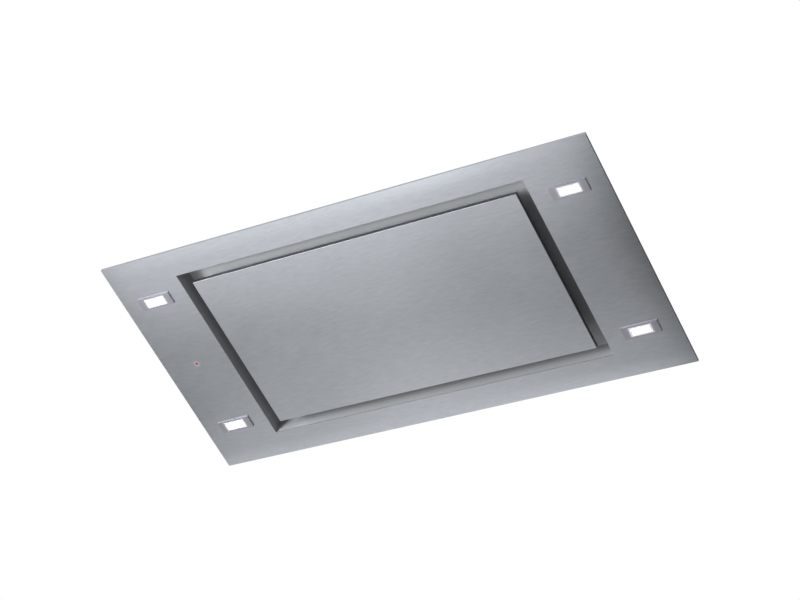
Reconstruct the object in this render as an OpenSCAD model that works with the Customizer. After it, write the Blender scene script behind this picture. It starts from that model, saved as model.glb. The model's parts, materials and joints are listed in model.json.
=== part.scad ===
// Built-in ceiling hood with a perimeter suction slot, seen from below as a brushed steel face.
// The origin is the centre of the ceiling plane. The face lies just below it and the housing above it.
// X runs along the long side, Y along the short side towards the air outlet, and Z points up.

/* [Face plate] */
// Length of the face plate
face_l = 1000; // [900:10:1200]
// Width of the face plate
face_w = 500; // [450:10:600]
// Thickness of the brushed sheet
face_t = 1; // [0.8:0.1:1.5]
// Height of the folded rim, from the visible face up to the ceiling
rim_h = 5; // [4:0.5:8]
// Reach of the face plate past the housing on every side
face_overlap = 25; // [20:1:28]
// Width of the foam seal behind the rim
seal_w = 8; // [5:1:9]

/* [Recess] */
// Width of the face between each short end and the opening
face_end = 140.5; // [132.5:0.5:155]
// Width of the face between each long side and the opening
face_side = 53.5; // [52:0.5:65]
// Depth of the recess above the visible face
recess_depth = 40; // [38:1:55]
// Thickness of the recess sheet
recess_t = 1; // [0.8:0.1:1.5]
// Width of the flange that joins the recess to the back of the face plate
recess_flange = 10; // [6:1:12]
// Width of the recess ceiling at each short end
ring_end = 64.5; // [56:0.5:80]
// Width of the recess ceiling along each long side
ring_side = 76.5; // [68:0.5:90]

/* [Suction panel] */
// Width of the suction slot around the panel
slot_w = 23.2; // [20:0.2:28]
// Height of the folded edge of the panel
panel_h = 9; // [7:0.5:11]
// Thickness of the panel sheets
panel_t = 1; // [0.8:0.1:1.5]
// Distance of the hinge axis from the panel's edge
hinge_inset = 13.3; // [12:0.1:15]
// Height of the hinge axis above the back of the panel
hinge_rise = 12; // [11:0.5:14]
// Distance of each hinge and catch from the middle
fixing_x = 250; // [150:5:280]
// Radius of a hinge pin
hinge_pin_r = 2.5; // [2:0.1:3]
// Radius of the hinge ears
hinge_ear_r = 7; // [5.5:0.5:8]
// Thickness of the moving hinge ear
arm_ear_t = 6; // [4:0.5:8]
// Thickness of each fixed hinge ear
bracket_ear_t = 3; // [2:0.5:4]
// Thickness of the hinge and catch feet
foot_t = 2; // [1.5:0.5:3]
// Length of the hinge feet along the hinge axis
foot_l = 40; // [36:1:60]
// Length of a catch magnet
catch_l = 24; // [16:1:30]
// Width of a catch magnet
catch_w = 12; // [8:1:13]
// Height of a catch magnet
catch_h = 5; // [3:0.5:7]
// Thickness of the steel strike that the catch holds
strike_t = 0.8; // [0.6:0.1:1.2]

/* [Grease filters] */
// Thickness of a filter cassette
filter_t = 9.4; // [8:0.1:12]
// Width of the channel around a filter
filter_border = 11; // [10:1:16]
// Thickness of the channel sheet
channel_t = 1; // [0.6:0.1:1.2]
// Width of the seat rim above the filters
seat_border = 12; // [11:1:16]
// Thickness of the seat above the filters
seat_t = 1.2; // [1:0.1:2]
// Radius of a filter magnet
magnet_r = 4; // [3:0.5:4.5]
// Height of the magnet collar above the seat
magnet_h = 3; // [2:0.5:5]
// Distance of the magnets from the middle of their filter
magnet_x = 100; // [60:5:120]
// Width of the pull tab on a filter
tab_w = 40; // [25:1:60]
// Thickness of the pull tab
tab_t = 1.5; // [1:0.1:2]
// Height of the pull tab on a filter
tab_h = 12; // [8:0.5:13]

/* [Housing] */
// Height of the housing walls
housing_h = 288; // [286:1:340]
// Thickness of the housing sheet
housing_t = 1; // [0.8:0.1:1.5]
// Width of the flange along the foot of the long walls
housing_flange = 12; // [11:0.5:14]
// Height of the folded edge of the cover
cover_lip = 15; // [12:1:20]
// Radius of the weld studs behind the face plate
stud_r = 2; // [1.5:0.5:2.5]
// Height of the weld studs
stud_h = 9; // [8:1:14]
// Spacing of the weld studs
stud_pitch = 200; // [150:10:210]

/* [Suspension] */
// Spacing of the hanging rods along the length
rod_pitch_l = 800; // [760:10:820]
// Spacing of the hanging rods across the width
rod_pitch_w = 300; // [280:10:320]
// Width of the rod slots
rod_slot_w = 9; // [7:0.5:11]
// Length of the rod slots
rod_slot_l = 26; // [20:1:32]
// Thickness of the suspension brackets
hanger_t = 3; // [2:0.5:4]
// Width of a suspension bracket
hanger_w = 60; // [54:2:70]
// Height of a suspension bracket
hanger_h = 30; // [25:1:45]
// Length of the foot of a suspension bracket
hanger_foot = 35; // [28:1:45]
// Length of the upper arm of a suspension bracket
hanger_arm = 56; // [48:1:60]

/* [Blower] */
// Outer radius of the impeller
impeller_r = 105; // [95:1:108]
// Length of the impeller blades along the axis
blade_l = 112; // [90:1:114]
// Radial depth of the impeller blades
blade_d = 18; // [14:1:20]
// Thickness of the blades and rings
blade_t = 1.2; // [0.8:0.1:1.6]
// Number of blades
blade_count = 36; // [24:2:42]
// Clearance between the impeller and the tongue of the scroll
tongue_gap = 13; // [11:1:18]
// Radius of the scroll where it turns into the outlet
scroll_end_r = 183; // [176:1:195]
// Inner width and height of the scroll outlet
outlet_side = 150; // [150:1:154]
// Thickness of the scroll sheet
scroll_t = 1.2; // [0.8:0.1:1.5]
// Width of the flanges around the scroll
scroll_flange = 12; // [11:1:14]
// Thickness of the plates that close the scroll
plate_t = 1.5; // [1:0.1:2]
// Radius of the curve of the inlet nozzle
nozzle_curve = 16; // [12:1:17]
// Radius of the throat of the inlet nozzle
nozzle_r = 80; // [72:1:84]
// Width of the flange of the inlet nozzle
nozzle_flange = 16; // [14:1:18]
// Height of the rubber mounts
mount_h = 8.5; // [7:0.5:10]
// Radius of the rubber mounts
mount_r = 11; // [9:0.5:14]
// Distance of the rubber mounts from the axis, along X and Y
mount_off = 85; // [82:1:88]

/* [Motor] */
// Outer radius of the rotor cup
rotor_r = 48.5; // [46:0.5:50]
// Wall thickness of the rotor cup
rotor_t = 2; // [1.5:0.1:2.5]
// Height of the rotor cup
rotor_h = 57; // [54:1:64]
// Width of the flange that carries the impeller
rotor_flange = 13; // [12:0.5:16]
// Thickness of the flange that carries the impeller
rotor_flange_t = 1.5; // [1:0.1:2.5]
// Thickness of the rotor magnets
rotor_magnet_t = 1.4; // [1:0.1:2]
// Radial gap between the stator and the rotor magnets
air_gap = 0.6; // [0.4:0.1:1]
// Radius of the motor shaft
shaft_r = 4; // [3:0.5:5]
// Outer radius of the bearings
bearing_r = 9; // [8:0.5:10]
// Width of a bearing
bearing_w = 7; // [5:0.5:8]
// Height of the stator laminations
core_h = 30; // [24:1:34]
// Number of stator teeth
tooth_count = 12; // [9:3:12]
// Height of the stator's mounting disc
stator_disc_h = 8; // [6:0.5:10]
// Wall of the bearing tube
tube_t = 3; // [2:0.5:4]

/* [Air outlet] */
// Outer radius of the outlet collar, for a 150 mm duct
duct_r = 74.5; // [72:0.5:74.5]
// Wall thickness of the collar
duct_t = 1.5; // [1.2:0.1:2.5]
// Length of the collar in front of its flange
duct_l = 46; // [40:1:60]
// Thickness of the collar's flange
collar_t = 4; // [3.5:0.5:5]
// Width of the collar's flange
collar_w = 9.5; // [9:0.1:9.8]
// Depth of the ledge that the flaps close against
ledge_w = 4; // [2:0.5:6]
// Thickness of the flaps
flap_t = 1.2; // [0.8:0.1:1.6]
// Radius of the flap pin
flap_pin_r = 1.5; // [1.2:0.1:2]
// Radius of the flap knuckles
knuckle_r = 3.2; // [2.8:0.1:3.4]
// Length of the flap spring
spring_l = 13; // [9:1:16]
// Radius of the spring wire
wire_r = 0.4; // [0.3:0.05:0.4]

/* [Lamps] */
// Length of a lamp bezel
bezel_l = 70; // [66:1:76]
// Width of a lamp bezel
bezel_w = 26; // [26:1:32]
// Height of a lamp bezel below the face
bezel_h = 3; // [2.5:0.5:5]
// Length of the lit window
window_l = 44; // [38:1:50]
// Width of the lit window
window_w = 20; // [16:0.5:20]
// Spacing of the lamps across the width
lamp_pitch_w = 312; // [280:2:330]
// Length of the bezel skirt that passes through the face plate
skirt_l = 59.4; // [56:0.2:62]
// Height of the bezel skirt above the face plate
skirt_h = 10; // [8:1:14]
// Wall thickness of the bezel skirt
skirt_t = 1; // [0.8:0.1:1.2]
// Thickness of the flange that holds the frosted window
lens_t = 1; // [0.8:0.1:1.2]
// Thickness of the lamp circuit boards
board_t = 1.6; // [1:0.1:2]
// Height of the lamp heat sink above the skirt
sink_h = 18; // [12:1:24]
// Number of fins on the heat sink
fin_count = 7; // [4:1:9]
// Width of a lamp clip
clip_w = 10; // [6:1:14]
// Thickness of the clip spring
clip_t = 0.6; // [0.4:0.1:0.8]
// Reach of a clip beside the lamp
clip_reach = 13; // [9:1:16]

/* [Controls] */
// Radius of the status light
status_r = 1.9; // [1.5:0.1:2.5]
// Reach of the status light below the face
status_h = 0.6; // [0.3:0.1:1]
// Length of the receiver housing
receiver_l = 26; // [20:1:34]
// Width of the receiver housing
receiver_w = 18; // [14:1:24]
// Height of the receiver housing
receiver_h = 12; // [9:1:16]
// Length of the control box
control_l = 160; // [130:5:180]
// Width of the control box
control_w = 110; // [90:5:114]
// Height of the control box
control_h = 38; // [32:1:50]
// Wall thickness of the control box
control_t = 2; // [1.5:0.1:3]
// Distance of the control box's middle from the end of the housing
control_end = 185; // [175:5:215]
// Distance of the control box from the middle, along Y
control_y = -60; // [-62:1:-57]
// Length of the lamp driver
driver_l = 150; // [120:5:180]
// Width of the lamp driver
driver_w = 42; // [30:1:48]
// Height of the lamp driver
driver_h = 26; // [20:1:36]
// Distance of the lamp driver from the middle, along Y
driver_y = 60; // [48:1:70]
// Radius of the cable hole in the gland
cable_r = 4.5; // [3:0.5:5]
// Radius of the threaded body of the gland
gland_r = 8; // [7:0.5:9]
// Length of the gland outside the housing
gland_out = 17; // [14:1:18]
// Length of the gland inside the housing
gland_in = 11; // [9:1:16]

/* [Fasteners] */
// Radius of a self-tapping screw
screw_r = 1.9; // [1.5:0.1:2]
// Radius of a self-tapping screw's head
screw_head_r = 3.8; // [3:0.1:4]
// Height of a self-tapping screw's head
screw_head_h = 2; // [1.2:0.1:2.4]
// Radius of a hexagon bolt
bolt_r = 3; // [2.5:0.5:4]
// Width across the flats of a bolt head and nut
bolt_flats = 10; // [8:1:13]
// Height of a bolt head and nut
bolt_head_h = 4; // [3:0.5:5]
// Height of the nuts on the weld studs
stud_nut_h = 3.2; // [2.5:0.1:4]

/* [Hidden] */
$fn = 48;

// Clearances: between seated pieces, between a screw and its hole, and in a running fit
seat = 0.3;
hole_gap = 0.1;
run_gap = 0.05;
press_gap = 0.02;
// Overrun of a cutting shape past the face that it cuts
over = 1;
// Margin of sheet around a screw head
head_margin = 1;

// Levels, from the visible face up to the top of the cover
face_z = -rim_h;
back_z = face_z + face_t;
ring_z = face_z + recess_depth;
ring_top = ring_z + recess_t;
filter_seat_z = ring_z + filter_t + 2 * seat;
panel_top = face_z + panel_h;
cover_z = back_z + housing_h;
cover_top = cover_z + housing_t;
motor_plate_z = cover_z - mount_h - plate_t;
scroll_h = outlet_side;
scroll_z = motor_plate_z - scroll_h;
inlet_plate_z = scroll_z - plate_t;

// Plan sizes that follow from the driving ones
opening_l = face_l - 2 * face_end;
opening_w = face_w - 2 * face_side;
housing_l = face_l - 2 * face_overlap;
housing_w = face_w - 2 * face_overlap;
panel_l = opening_l - 2 * slot_w;
panel_w = opening_w - 2 * slot_w;
filter_hole_l = opening_l - 2 * ring_end;
filter_hole_w = opening_w - 2 * ring_side;
filter_gap = 0.5;
filter_l = filter_hole_l / 2 - 2 * filter_gap;
filter_w = filter_hole_w - 2 * filter_gap;
filter_x = filter_hole_l / 4;
mesh_gap = 0.2;
seat_bar = 2 * (seat_border - filter_gap);
magnet_y = filter_hole_w / 2 - seat_border / 2;
magnet_collar = 1.5;
seat_rim = 6;
tab_inset = 2;
tab_foot = 7;
lamp_x = (opening_l + face_l) / 4;
lamp_places = [
    [-lamp_x, -lamp_pitch_w / 2], [lamp_x, -lamp_pitch_w / 2],
    [lamp_x, lamp_pitch_w / 2], [-lamp_x, lamp_pitch_w / 2]];
cut_gap = 0.3;

// Hinge of the suction panel, and the catches on its other side
hinge_y = panel_w / 2 - hinge_inset;
hinge_z = panel_top + hinge_rise;
ear_gap = 1;
bracket_ear_x = arm_ear_t / 2 + ear_gap;
bracket_half = bracket_ear_x + bracket_ear_t;
pin_head_t = 1.5;
pin_head_r = hinge_pin_r + pin_head_t;
arm_foot_front = 24;
arm_foot_back = 8;
bracket_foot_w = 30;
foot_screw_x = foot_l / 2 - screw_head_r - head_margin;
catch_y = -filter_hole_w / 2 - catch_w;
catch_z = panel_top + strike_t + seat;
catch_plate_z = catch_z + catch_h;
catch_leg_t = 2;
catch_half = catch_l / 2 + catch_leg_t;
catch_foot = 2 * (screw_head_r + head_margin);
strike_over = 3;

// Blower: the fan axis lies so that the scroll's outlet is centred on the housing
fan_x = outlet_side / 2 - scroll_end_r;
fan_y = -10;
scroll_r0 = impeller_r + tongue_gap;
tongue_x = scroll_end_r - outlet_side;
wall_in_y = housing_w / 2 - housing_t;
mouth_y = wall_in_y - fan_y;
outlet_z = scroll_z + scroll_h / 2;
scroll_rim = scroll_t + scroll_flange;
mouth_l = outlet_side + 2 * scroll_rim;
spiral_steps = 40;
scroll_screw_angles = [105, 160, 215, 270, 325];
nozzle_mid_r = nozzle_r + nozzle_curve;
nozzle_screw_r = nozzle_mid_r + nozzle_flange / 2 + head_margin;
rotor_clear = 8.5;
stator_top = motor_plate_z - stator_disc_h;
impeller_top = stator_top - rotor_clear - rotor_flange_t;
impeller_z = impeller_top - blade_t - blade_l;
blade_curve = 13;
blade_in_r = impeller_r - blade_d;

// Motor: an outer rotor around a stator that hangs from the motor plate
rotor_in_r = rotor_r - rotor_t;
rotor_top = impeller_top + rotor_flange_t;
rotor_z = rotor_top - rotor_h;
rotor_floor = 3;
hub_r = shaft_r + 4;
hub_h = 5;
stator_r = rotor_in_r - rotor_magnet_t - air_gap - hole_gap;
tube_r = bearing_r + tube_t;
tube_rise = 3;
tube_z = rotor_z + rotor_floor + hub_h + tube_rise;
stator_z = tube_z + tube_rise;
shaft_top = motor_plate_z - stator_disc_h / 2;
bearing_inset = 1.5;
core_ring = 6;
tip_d = 4;
tooth_w = 7;
tip_gap = 3;
coil_w = 2.5;
coil_half = tooth_w / 2 + hole_gap + coil_w;
coil_in_r = max(tube_r + core_ring, coil_half / tan(180 / tooth_count)) + 2 * seat;
coil_out_r = sqrt(pow(stator_r - tip_d, 2) - pow(coil_half, 2)) - seat;
coil_over = 5;
rotor_magnet_over = 2;
rotor_screw_r = rotor_r + rotor_flange / 2;
stator_disc_r = rotor_in_r - rotor_magnet_t;
stator_screw_inset = 8;
stator_screw_r = stator_disc_r - stator_screw_inset;

// Outlet collar and its two flaps
collar_y = housing_w / 2;
duct_in_r = duct_r - duct_t;
collar_screw_r = duct_r + collar_w / 2 + hole_gap;
ledge_in = 4;
ledge_y = collar_y + collar_t + ledge_in;
ledge_t = 1.5;
flap_y = ledge_y + ledge_t + seat + flap_t / 2;
flap_gap = 0.7;
flap_r = duct_in_r - flap_gap;
flap_start = 4.4;
boss_w = 8;
boss_h = 6;
boss_gap = 2;
flap_notch_x = boss_w / sqrt(2) + flap_t;
flap_notch_z = duct_in_r - boss_h - boss_gap;
knuckle_end = flap_notch_z - boss_gap;
knuckle_start = spring_l / 2 + seat;
spring_r = flap_pin_r + seat + wire_r;
wire_gap = 0.5;
spring_pitch = 2 * wire_r + wire_gap;
spring_turns = (spring_l - 2 * wire_r) / spring_pitch;
spring_sides = 6;
spring_step = 8;
spring_rings = ceil(spring_turns * spring_step);

// Fastener places
cover_screw_x = [-320, -160, 160, 320];
cover_screw_y = [-120, 120];
cover_screw_z = cover_z - cover_lip / 2;
hanger_web_x = rod_pitch_l / 2 - hanger_arm / 2;
hanger_bolt_y = 18;
hanger_bolt_x = hanger_web_x - hanger_t - hanger_foot / 2;
screw_l = 7;
bolt_end = 2;
wall_cut = 10 * housing_t;
gland_wall = 2;
gland_nut_l = 5;
gland_flats = 2 * gland_r + 3 * gland_wall;
gland_z = cover_z - cover_lip - gland_flats / sqrt(3) - gland_wall;

// Place of the control box, its fixings measured from its edges, and what its board carries
control_x = housing_l / 2 - control_end;
fixing_inset = 12;
fixing_r = 4;
post_inset_x = 16;
post_inset_y = 14;
post_r = 3.5;
board_margin = 10;
board_z = cover_z - control_h / 2;
chip_h = control_h / 4;
chips = [[-40, 10, 28, 22], [-8, -14, 18, 16], [18, 14, 20, 14], [40, -12, 16, 24]];

// Status light, the sphere of its dome, and the bore of its housing
lens_flange_r = status_r + 1.3;
lens_flange_h = 1;
status_gap = 0.2;
dome_r = (status_r * status_r + status_h * status_h) / (2 * status_h);

// Lamp parts, from the window up to the heat sink
skirt_w = window_w + 2 * (skirt_t + status_gap);
pocket_h = lens_t + 2 * hole_gap;
pocket_l = skirt_l - 2 * skirt_t;
pocket_w = skirt_w - 2 * skirt_t;
lens_seat_z = face_z - pocket_h;
window_inset = 0.2;
window_z = face_z - bezel_h + window_inset;
lamp_board_z = back_z + seat;
lamp_board_top = lamp_board_z + board_t;
skirt_top = back_z + skirt_h;
sink_cap = 2;
fin_t = 1.5;
clip_foot = 4;
clip_grip = 4;

// A box of size [x, y, z] centred on the Z axis, with its foot at z
module block(size, z) {
    translate([-size[0] / 2, -size[1] / 2, z]) cube(size);
}

// A rectangular frame: outer size, inner size, height and foot level
module frame(outer, inner, h, z) {
    difference() {
        block([outer[0], outer[1], h], z);
        block([inner[0], inner[1], h + 2 * over], z - over);
    }
}

// The children at all four corners (x, y)
module corners(x, y) {
    for (sx = [-1, 1], sy = [-1, 1]) translate([sx * x, sy * y, 0]) children();
}

// A rod along X, centred on the origin
module rod_x(r, l) {
    rotate([0, 90, 0]) cylinder(r = r, h = l, center = true);
}

// A hexagonal prism of the given width across flats
module hexagon(flats, h) {
    cylinder(r = flats / sqrt(3), h = h, $fn = 6);
}

// A self-tapping screw with its head on z = 0 and its shank going down
module screw() {
    cylinder(r = screw_head_r, h = screw_head_h);
    translate([0, 0, -screw_l]) cylinder(r = screw_r, h = screw_l + screw_head_h / 2);
}

// The hole for a self-tapping screw
module screw_hole() {
    translate([0, 0, -screw_l]) cylinder(r = screw_r + hole_gap, h = 2 * screw_l);
}

// The children at each screw that holds the cover to the housing walls
module at_cover_screws() {
    for (x = cover_screw_x, s = [0, 180])
        rotate([0, 0, s]) translate([x, -housing_w / 2, cover_screw_z]) rotate([90, 0, 0]) children();
    for (y = cover_screw_y, s = [0, 180])
        rotate([0, 0, s]) translate([housing_l / 2, y, cover_screw_z]) rotate([0, 90, 0]) children();
}

// The children at each screw along the scroll's flange, on the fan axis, at level z
module at_scroll_screws(z) {
    for (a = scroll_screw_angles)
        translate([fan_x, fan_y, z]) rotate([0, 0, a])
            translate([spiral_r(a) + scroll_t + scroll_flange / 2, 0, 0]) children();
}

// The children at each screw of the inlet nozzle, heads down
module at_nozzle_screws() {
    for (a = [45:90:315])
        translate([fan_x, fan_y, inlet_plate_z - scroll_t]) rotate([0, 0, a])
            translate([nozzle_screw_r, 0, 0]) rotate([180, 0, 0]) children();
}

// The children at each screw that holds the stator to the motor plate
module at_stator_screws() {
    for (a = [45:90:315])
        translate([fan_x, fan_y, motor_plate_z + plate_t]) rotate([0, 0, a])
            translate([stator_screw_r, 0, 0]) children();
}

// The children at each screw of the outlet collar, heads flush in the flange
module at_collar_screws() {
    for (a = [45:90:315])
        translate([0, collar_y + collar_t - screw_head_h - hole_gap, outlet_z]) rotate([0, a, 0])
            translate([collar_screw_r, 0, 0]) rotate([-90, 0, 0]) children();
}

// The children at each screw of the hinge and catch feet, heads down
module at_foot_screws() {
    for (s = [-1, 1], t = [-1, 1]) {
        translate([s * fixing_x + t * foot_screw_x, hinge_y, ring_z - foot_t])
            rotate([180, 0, 0]) children();
        translate([s * fixing_x + t * (catch_half + catch_foot / 2), catch_y, ring_z - foot_t])
            rotate([180, 0, 0]) children();
    }
}

// The children at each screw that holds the control box and the lamp driver
module at_cover_top_screws() {
    for (s = [-1, 1]) {
        translate([control_x + s * (control_l / 2 - fixing_inset), control_y, cover_top]) children();
        translate([control_x + s * (driver_l / 2 - fixing_inset), driver_y, cover_top]) children();
    }
}

// The children at each bolt of the suspension brackets
module at_hanger_bolts() {
    for (sx = [0, 1], sy = [-1, 1], t = [-1, 1])
        mirror([sx, 0, 0])
            translate([hanger_bolt_x, sy * rod_pitch_w / 2 + t * hanger_bolt_y, cover_top + hanger_t])
                children();
}

// The children at each bolt of the rubber mounts
module at_mount_bolts() {
    for (sx = [-1, 1], sy = [-1, 1])
        translate([fan_x + sx * mount_off, fan_y + sy * mount_off, cover_top]) children();
}

// A hexagon bolt with its head on z = 0, and its nut below a stack of thickness grip
module bolt_and_nut(grip) {
    hexagon(bolt_flats, bolt_head_h);
    translate([0, 0, -grip - bolt_head_h - bolt_end])
        cylinder(r = bolt_r, h = grip + 1.5 * bolt_head_h + bolt_end);
    translate([0, 0, -grip - bolt_head_h]) difference() {
        hexagon(bolt_flats, bolt_head_h);
        translate([0, 0, -over]) cylinder(r = bolt_r + run_gap, h = bolt_head_h + 2 * over);
    }
}

// The hole for a hexagon bolt
module bolt_hole() {
    reach = housing_t + mount_h + plate_t + hanger_t;
    translate([0, 0, -reach]) cylinder(r = bolt_r + 2 * hole_gap, h = 2 * reach);
}

// Face and recess

module face_plate() {
    color("lightsteelblue") difference() {
        union() {
            frame([face_l, face_w], [face_l - 2 * face_t, face_w - 2 * face_t], rim_h, face_z);
            block([face_l, face_w, face_t], face_z);
            at_studs() cylinder(r = stud_r, h = stud_h);
        }
        block([opening_l, opening_w, 2 * rim_h], face_z - over);
        for (p = lamp_places) translate(p)
            block([skirt_l + 2 * cut_gap, skirt_w + 2 * cut_gap, 3 * face_t], face_z - over);
        translate([-lamp_x, 0, face_z - over])
            cylinder(r = status_r + status_gap, h = face_t + 2 * over);
    }
}

// The children at each weld stud, on the back of the face plate
module at_studs() {
    for (i = [-2:2], s = [-1, 1])
        translate([i * stud_pitch, s * (housing_w / 2 - housing_t - housing_flange / 2), back_z])
            children();
}

module face_nuts() {
    color("silver") at_studs() translate([0, 0, housing_t]) difference() {
        hexagon(3.5 * stud_r, stud_nut_h);
        translate([0, 0, -over]) cylinder(r = stud_r + run_gap, h = stud_nut_h + 2 * over);
    }
}

module ceiling_seal() {
    seal_l = face_l - 2 * face_t - 2 * seat;
    seal_b = face_w - 2 * face_t - 2 * seat;
    color("dimgray") frame([seal_l, seal_b], [seal_l - 2 * seal_w, seal_b - 2 * seal_w], -back_z, back_z);
}

module recess_tray() {
    wall_l = opening_l + 2 * recess_t;
    wall_w = opening_w + 2 * recess_t;
    color("silver") difference() {
        union() {
            frame([wall_l + 2 * recess_flange, wall_w + 2 * recess_flange], [opening_l, opening_w],
                recess_t, back_z);
            frame([wall_l, wall_w], [opening_l, opening_w], ring_top - back_z, back_z);
            frame([wall_l, wall_w], [filter_hole_l, filter_hole_w], recess_t, ring_z);
            frame([filter_hole_l + 2 * recess_t, filter_hole_w + 2 * recess_t],
                [filter_hole_l, filter_hole_w], filter_seat_z - ring_z, ring_z);
        }
        at_foot_screws() screw_hole();
    }
}

// Grease filters and what holds them

module filter_seat() {
    rim = 2 * seat_rim;
    window_x = filter_hole_l / 2 - seat_border - seat_bar / 2;
    color("silver") difference() {
        block([filter_hole_l + rim, filter_hole_w + rim, seat_t], filter_seat_z);
        for (s = [-1, 1]) translate([s * (seat_bar + window_x) / 2, 0, 0])
            block([window_x, filter_hole_w - 2 * seat_border, seat_t + 2 * over], filter_seat_z - over);
        at_magnets() translate([0, 0, -over]) cylinder(r = magnet_r + run_gap, h = seat_t + 2 * over);
    }
}

// The children at each filter magnet, on the underside of the seat
module at_magnets() {
    for (s = [-1, 1]) translate([s * filter_x, 0, filter_seat_z]) corners(magnet_x, magnet_y) children();
}

module filter_magnets() {
    color("gray") at_magnets() {
        cylinder(r = magnet_r, h = seat_t + magnet_h);
        translate([0, 0, seat_t]) cylinder(r = magnet_r + magnet_collar, h = magnet_h);
    }
}

// One filter channel with its pull tab, s = -1 for the left filter and 1 for the right one
module filter_frame(s) {
    inner = [filter_l - 2 * filter_border, filter_w - 2 * filter_border];
    slot = [filter_l - 2 * channel_t, filter_w - 2 * channel_t];
    z = ring_z + seat;
    tab_y = tab_inset - filter_w / 2;
    color("gainsboro") translate([s * filter_x, 0, 0]) {
        difference() {
            frame([filter_l, filter_w], inner, filter_t, z);
            block([slot[0], slot[1], filter_t - 2 * channel_t], z + channel_t);
        }
        translate([-tab_w / 2, tab_y, z - tab_t]) cube([tab_w, tab_foot, tab_t]);
        translate([-tab_w / 2, tab_y + tab_foot - tab_t, z - tab_h]) cube([tab_w, tab_t, tab_h]);
    }
}

module filter_mesh(s) {
    gap = 2 * (channel_t + mesh_gap);
    color("darkgray") translate([s * filter_x, 0, 0])
        block([filter_l - gap, filter_w - gap, filter_t - gap], ring_z + seat + gap / 2);
}

// Suction panel, its hinges and its catches

module panel_skin() {
    inner = [panel_l - 2 * panel_t, panel_w - 2 * panel_t];
    color("lightsteelblue") union() {
        block([panel_l, panel_w, panel_t], face_z);
        frame([panel_l, panel_w], inner, panel_h, face_z);
    }
}

module panel_back() {
    outer = [panel_l - 2 * panel_t - 2 * hole_gap, panel_w - 2 * panel_t - 2 * hole_gap];
    color("silver") difference() {
        block([outer[0], outer[1], panel_h - panel_t], face_z + panel_t);
        block([outer[0] - 2 * panel_t, outer[1] - 2 * panel_t, panel_h - 2 * panel_t + over],
            face_z + panel_t - over);
    }
}

module hinge_arms() {
    color("gray") for (s = [-1, 1]) translate([s * fixing_x, hinge_y, 0]) difference() {
        union() {
            translate([-foot_l / 2, -arm_foot_front, panel_top])
                cube([foot_l, arm_foot_front + arm_foot_back, foot_t]);
            block([arm_ear_t, 2 * hinge_ear_r, hinge_rise], panel_top);
            translate([0, 0, hinge_z]) rod_x(hinge_ear_r, arm_ear_t);
        }
        translate([0, 0, hinge_z]) rod_x(hinge_pin_r + run_gap, arm_ear_t + 2 * over);
    }
}

module hinge_brackets() {
    color("gray") difference() {
        for (s = [-1, 1]) translate([s * fixing_x, hinge_y, 0]) difference() {
            union() {
                block([foot_l, bracket_foot_w, foot_t], ring_z - foot_t);
                for (t = [-1, 1]) translate([t * (bracket_half + bracket_ear_x) / 2, 0, 0]) {
                    block([bracket_ear_t, 2 * hinge_ear_r, ring_z - hinge_z - foot_t / 2], hinge_z);
                    translate([0, 0, hinge_z]) rod_x(hinge_ear_r, bracket_ear_t);
                }
            }
            translate([0, 0, hinge_z]) rod_x(hinge_pin_r + run_gap, 2 * bracket_half + 2 * over);
        }
        at_foot_screws() screw_hole();
    }
}

module hinge_pins() {
    color("silver") for (s = [-1, 1]) translate([s * fixing_x, hinge_y, hinge_z]) {
        rod_x(hinge_pin_r, 2 * bracket_half + pin_head_t);
        for (t = [-1, 1])
            translate([t * (bracket_half + pin_head_t / 2), 0, 0]) rod_x(pin_head_r, pin_head_t);
    }
}

module catch_brackets() {
    color("gray") difference() {
        for (s = [-1, 1]) translate([s * fixing_x, catch_y, 0]) {
            block([2 * catch_half, catch_w, foot_t], catch_plate_z);
            for (t = [-1, 1]) {
                translate([t * (catch_half - catch_leg_t / 2), 0, 0])
                    block([catch_leg_t, catch_w, ring_z - catch_plate_z], catch_plate_z);
                translate([t * (catch_half - catch_leg_t / 2 + catch_foot / 2), 0, 0])
                    block([catch_foot + catch_leg_t, catch_w, foot_t], ring_z - foot_t);
            }
        }
        at_foot_screws() screw_hole();
    }
}

module catch_magnets() {
    color("dimgray") for (s = [-1, 1]) translate([s * fixing_x, catch_y, 0])
        block([catch_l, catch_w, catch_h], catch_z);
}

module catch_strikes() {
    color("silver") for (s = [-1, 1]) translate([s * fixing_x, catch_y, 0])
        block([catch_l + 2 * strike_over, catch_w + 2 * strike_over, strike_t], panel_top);
}

// Housing and suspension

module housing_shell() {
    inner = [housing_l - 2 * housing_t, housing_w - 2 * housing_t];
    color("lightgray") difference() {
        union() {
            frame([housing_l, housing_w], inner, housing_h, back_z);
            for (s = [-1, 1]) translate([0, s * (inner[1] - housing_flange) / 2, 0])
                block([inner[0], housing_flange, housing_t], back_z);
        }
        at_studs() cylinder(r = stud_r + hole_gap, h = 4 * housing_t, center = true);
        translate([0, collar_y, outlet_z]) rotate([90, 0, 0])
            cylinder(r = duct_in_r, h = wall_cut, center = true);
        translate([housing_l / 2, control_y, gland_z]) rod_x(gland_r + hole_gap, wall_cut);
        at_cover_screws() screw_hole();
        at_collar_screws() screw_hole();
    }
}

module housing_cover() {
    lip = [housing_l - 2 * housing_t - 2 * hole_gap, housing_w - 2 * housing_t - 2 * hole_gap];
    color("lightgray") difference() {
        union() {
            block([housing_l, housing_w, housing_t], cover_z);
            frame(lip, [lip[0] - 2 * housing_t, lip[1] - 2 * housing_t], cover_lip, cover_z - cover_lip);
        }
        translate([0, housing_w / 2, 0])
            block([mouth_l + 2 * seat, cover_lip, cover_lip + over], cover_z - cover_lip - over);
        at_cover_screws() screw_hole();
        at_cover_top_screws() screw_hole();
        at_hanger_bolts() bolt_hole();
        at_mount_bolts() bolt_hole();
    }
}

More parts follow.
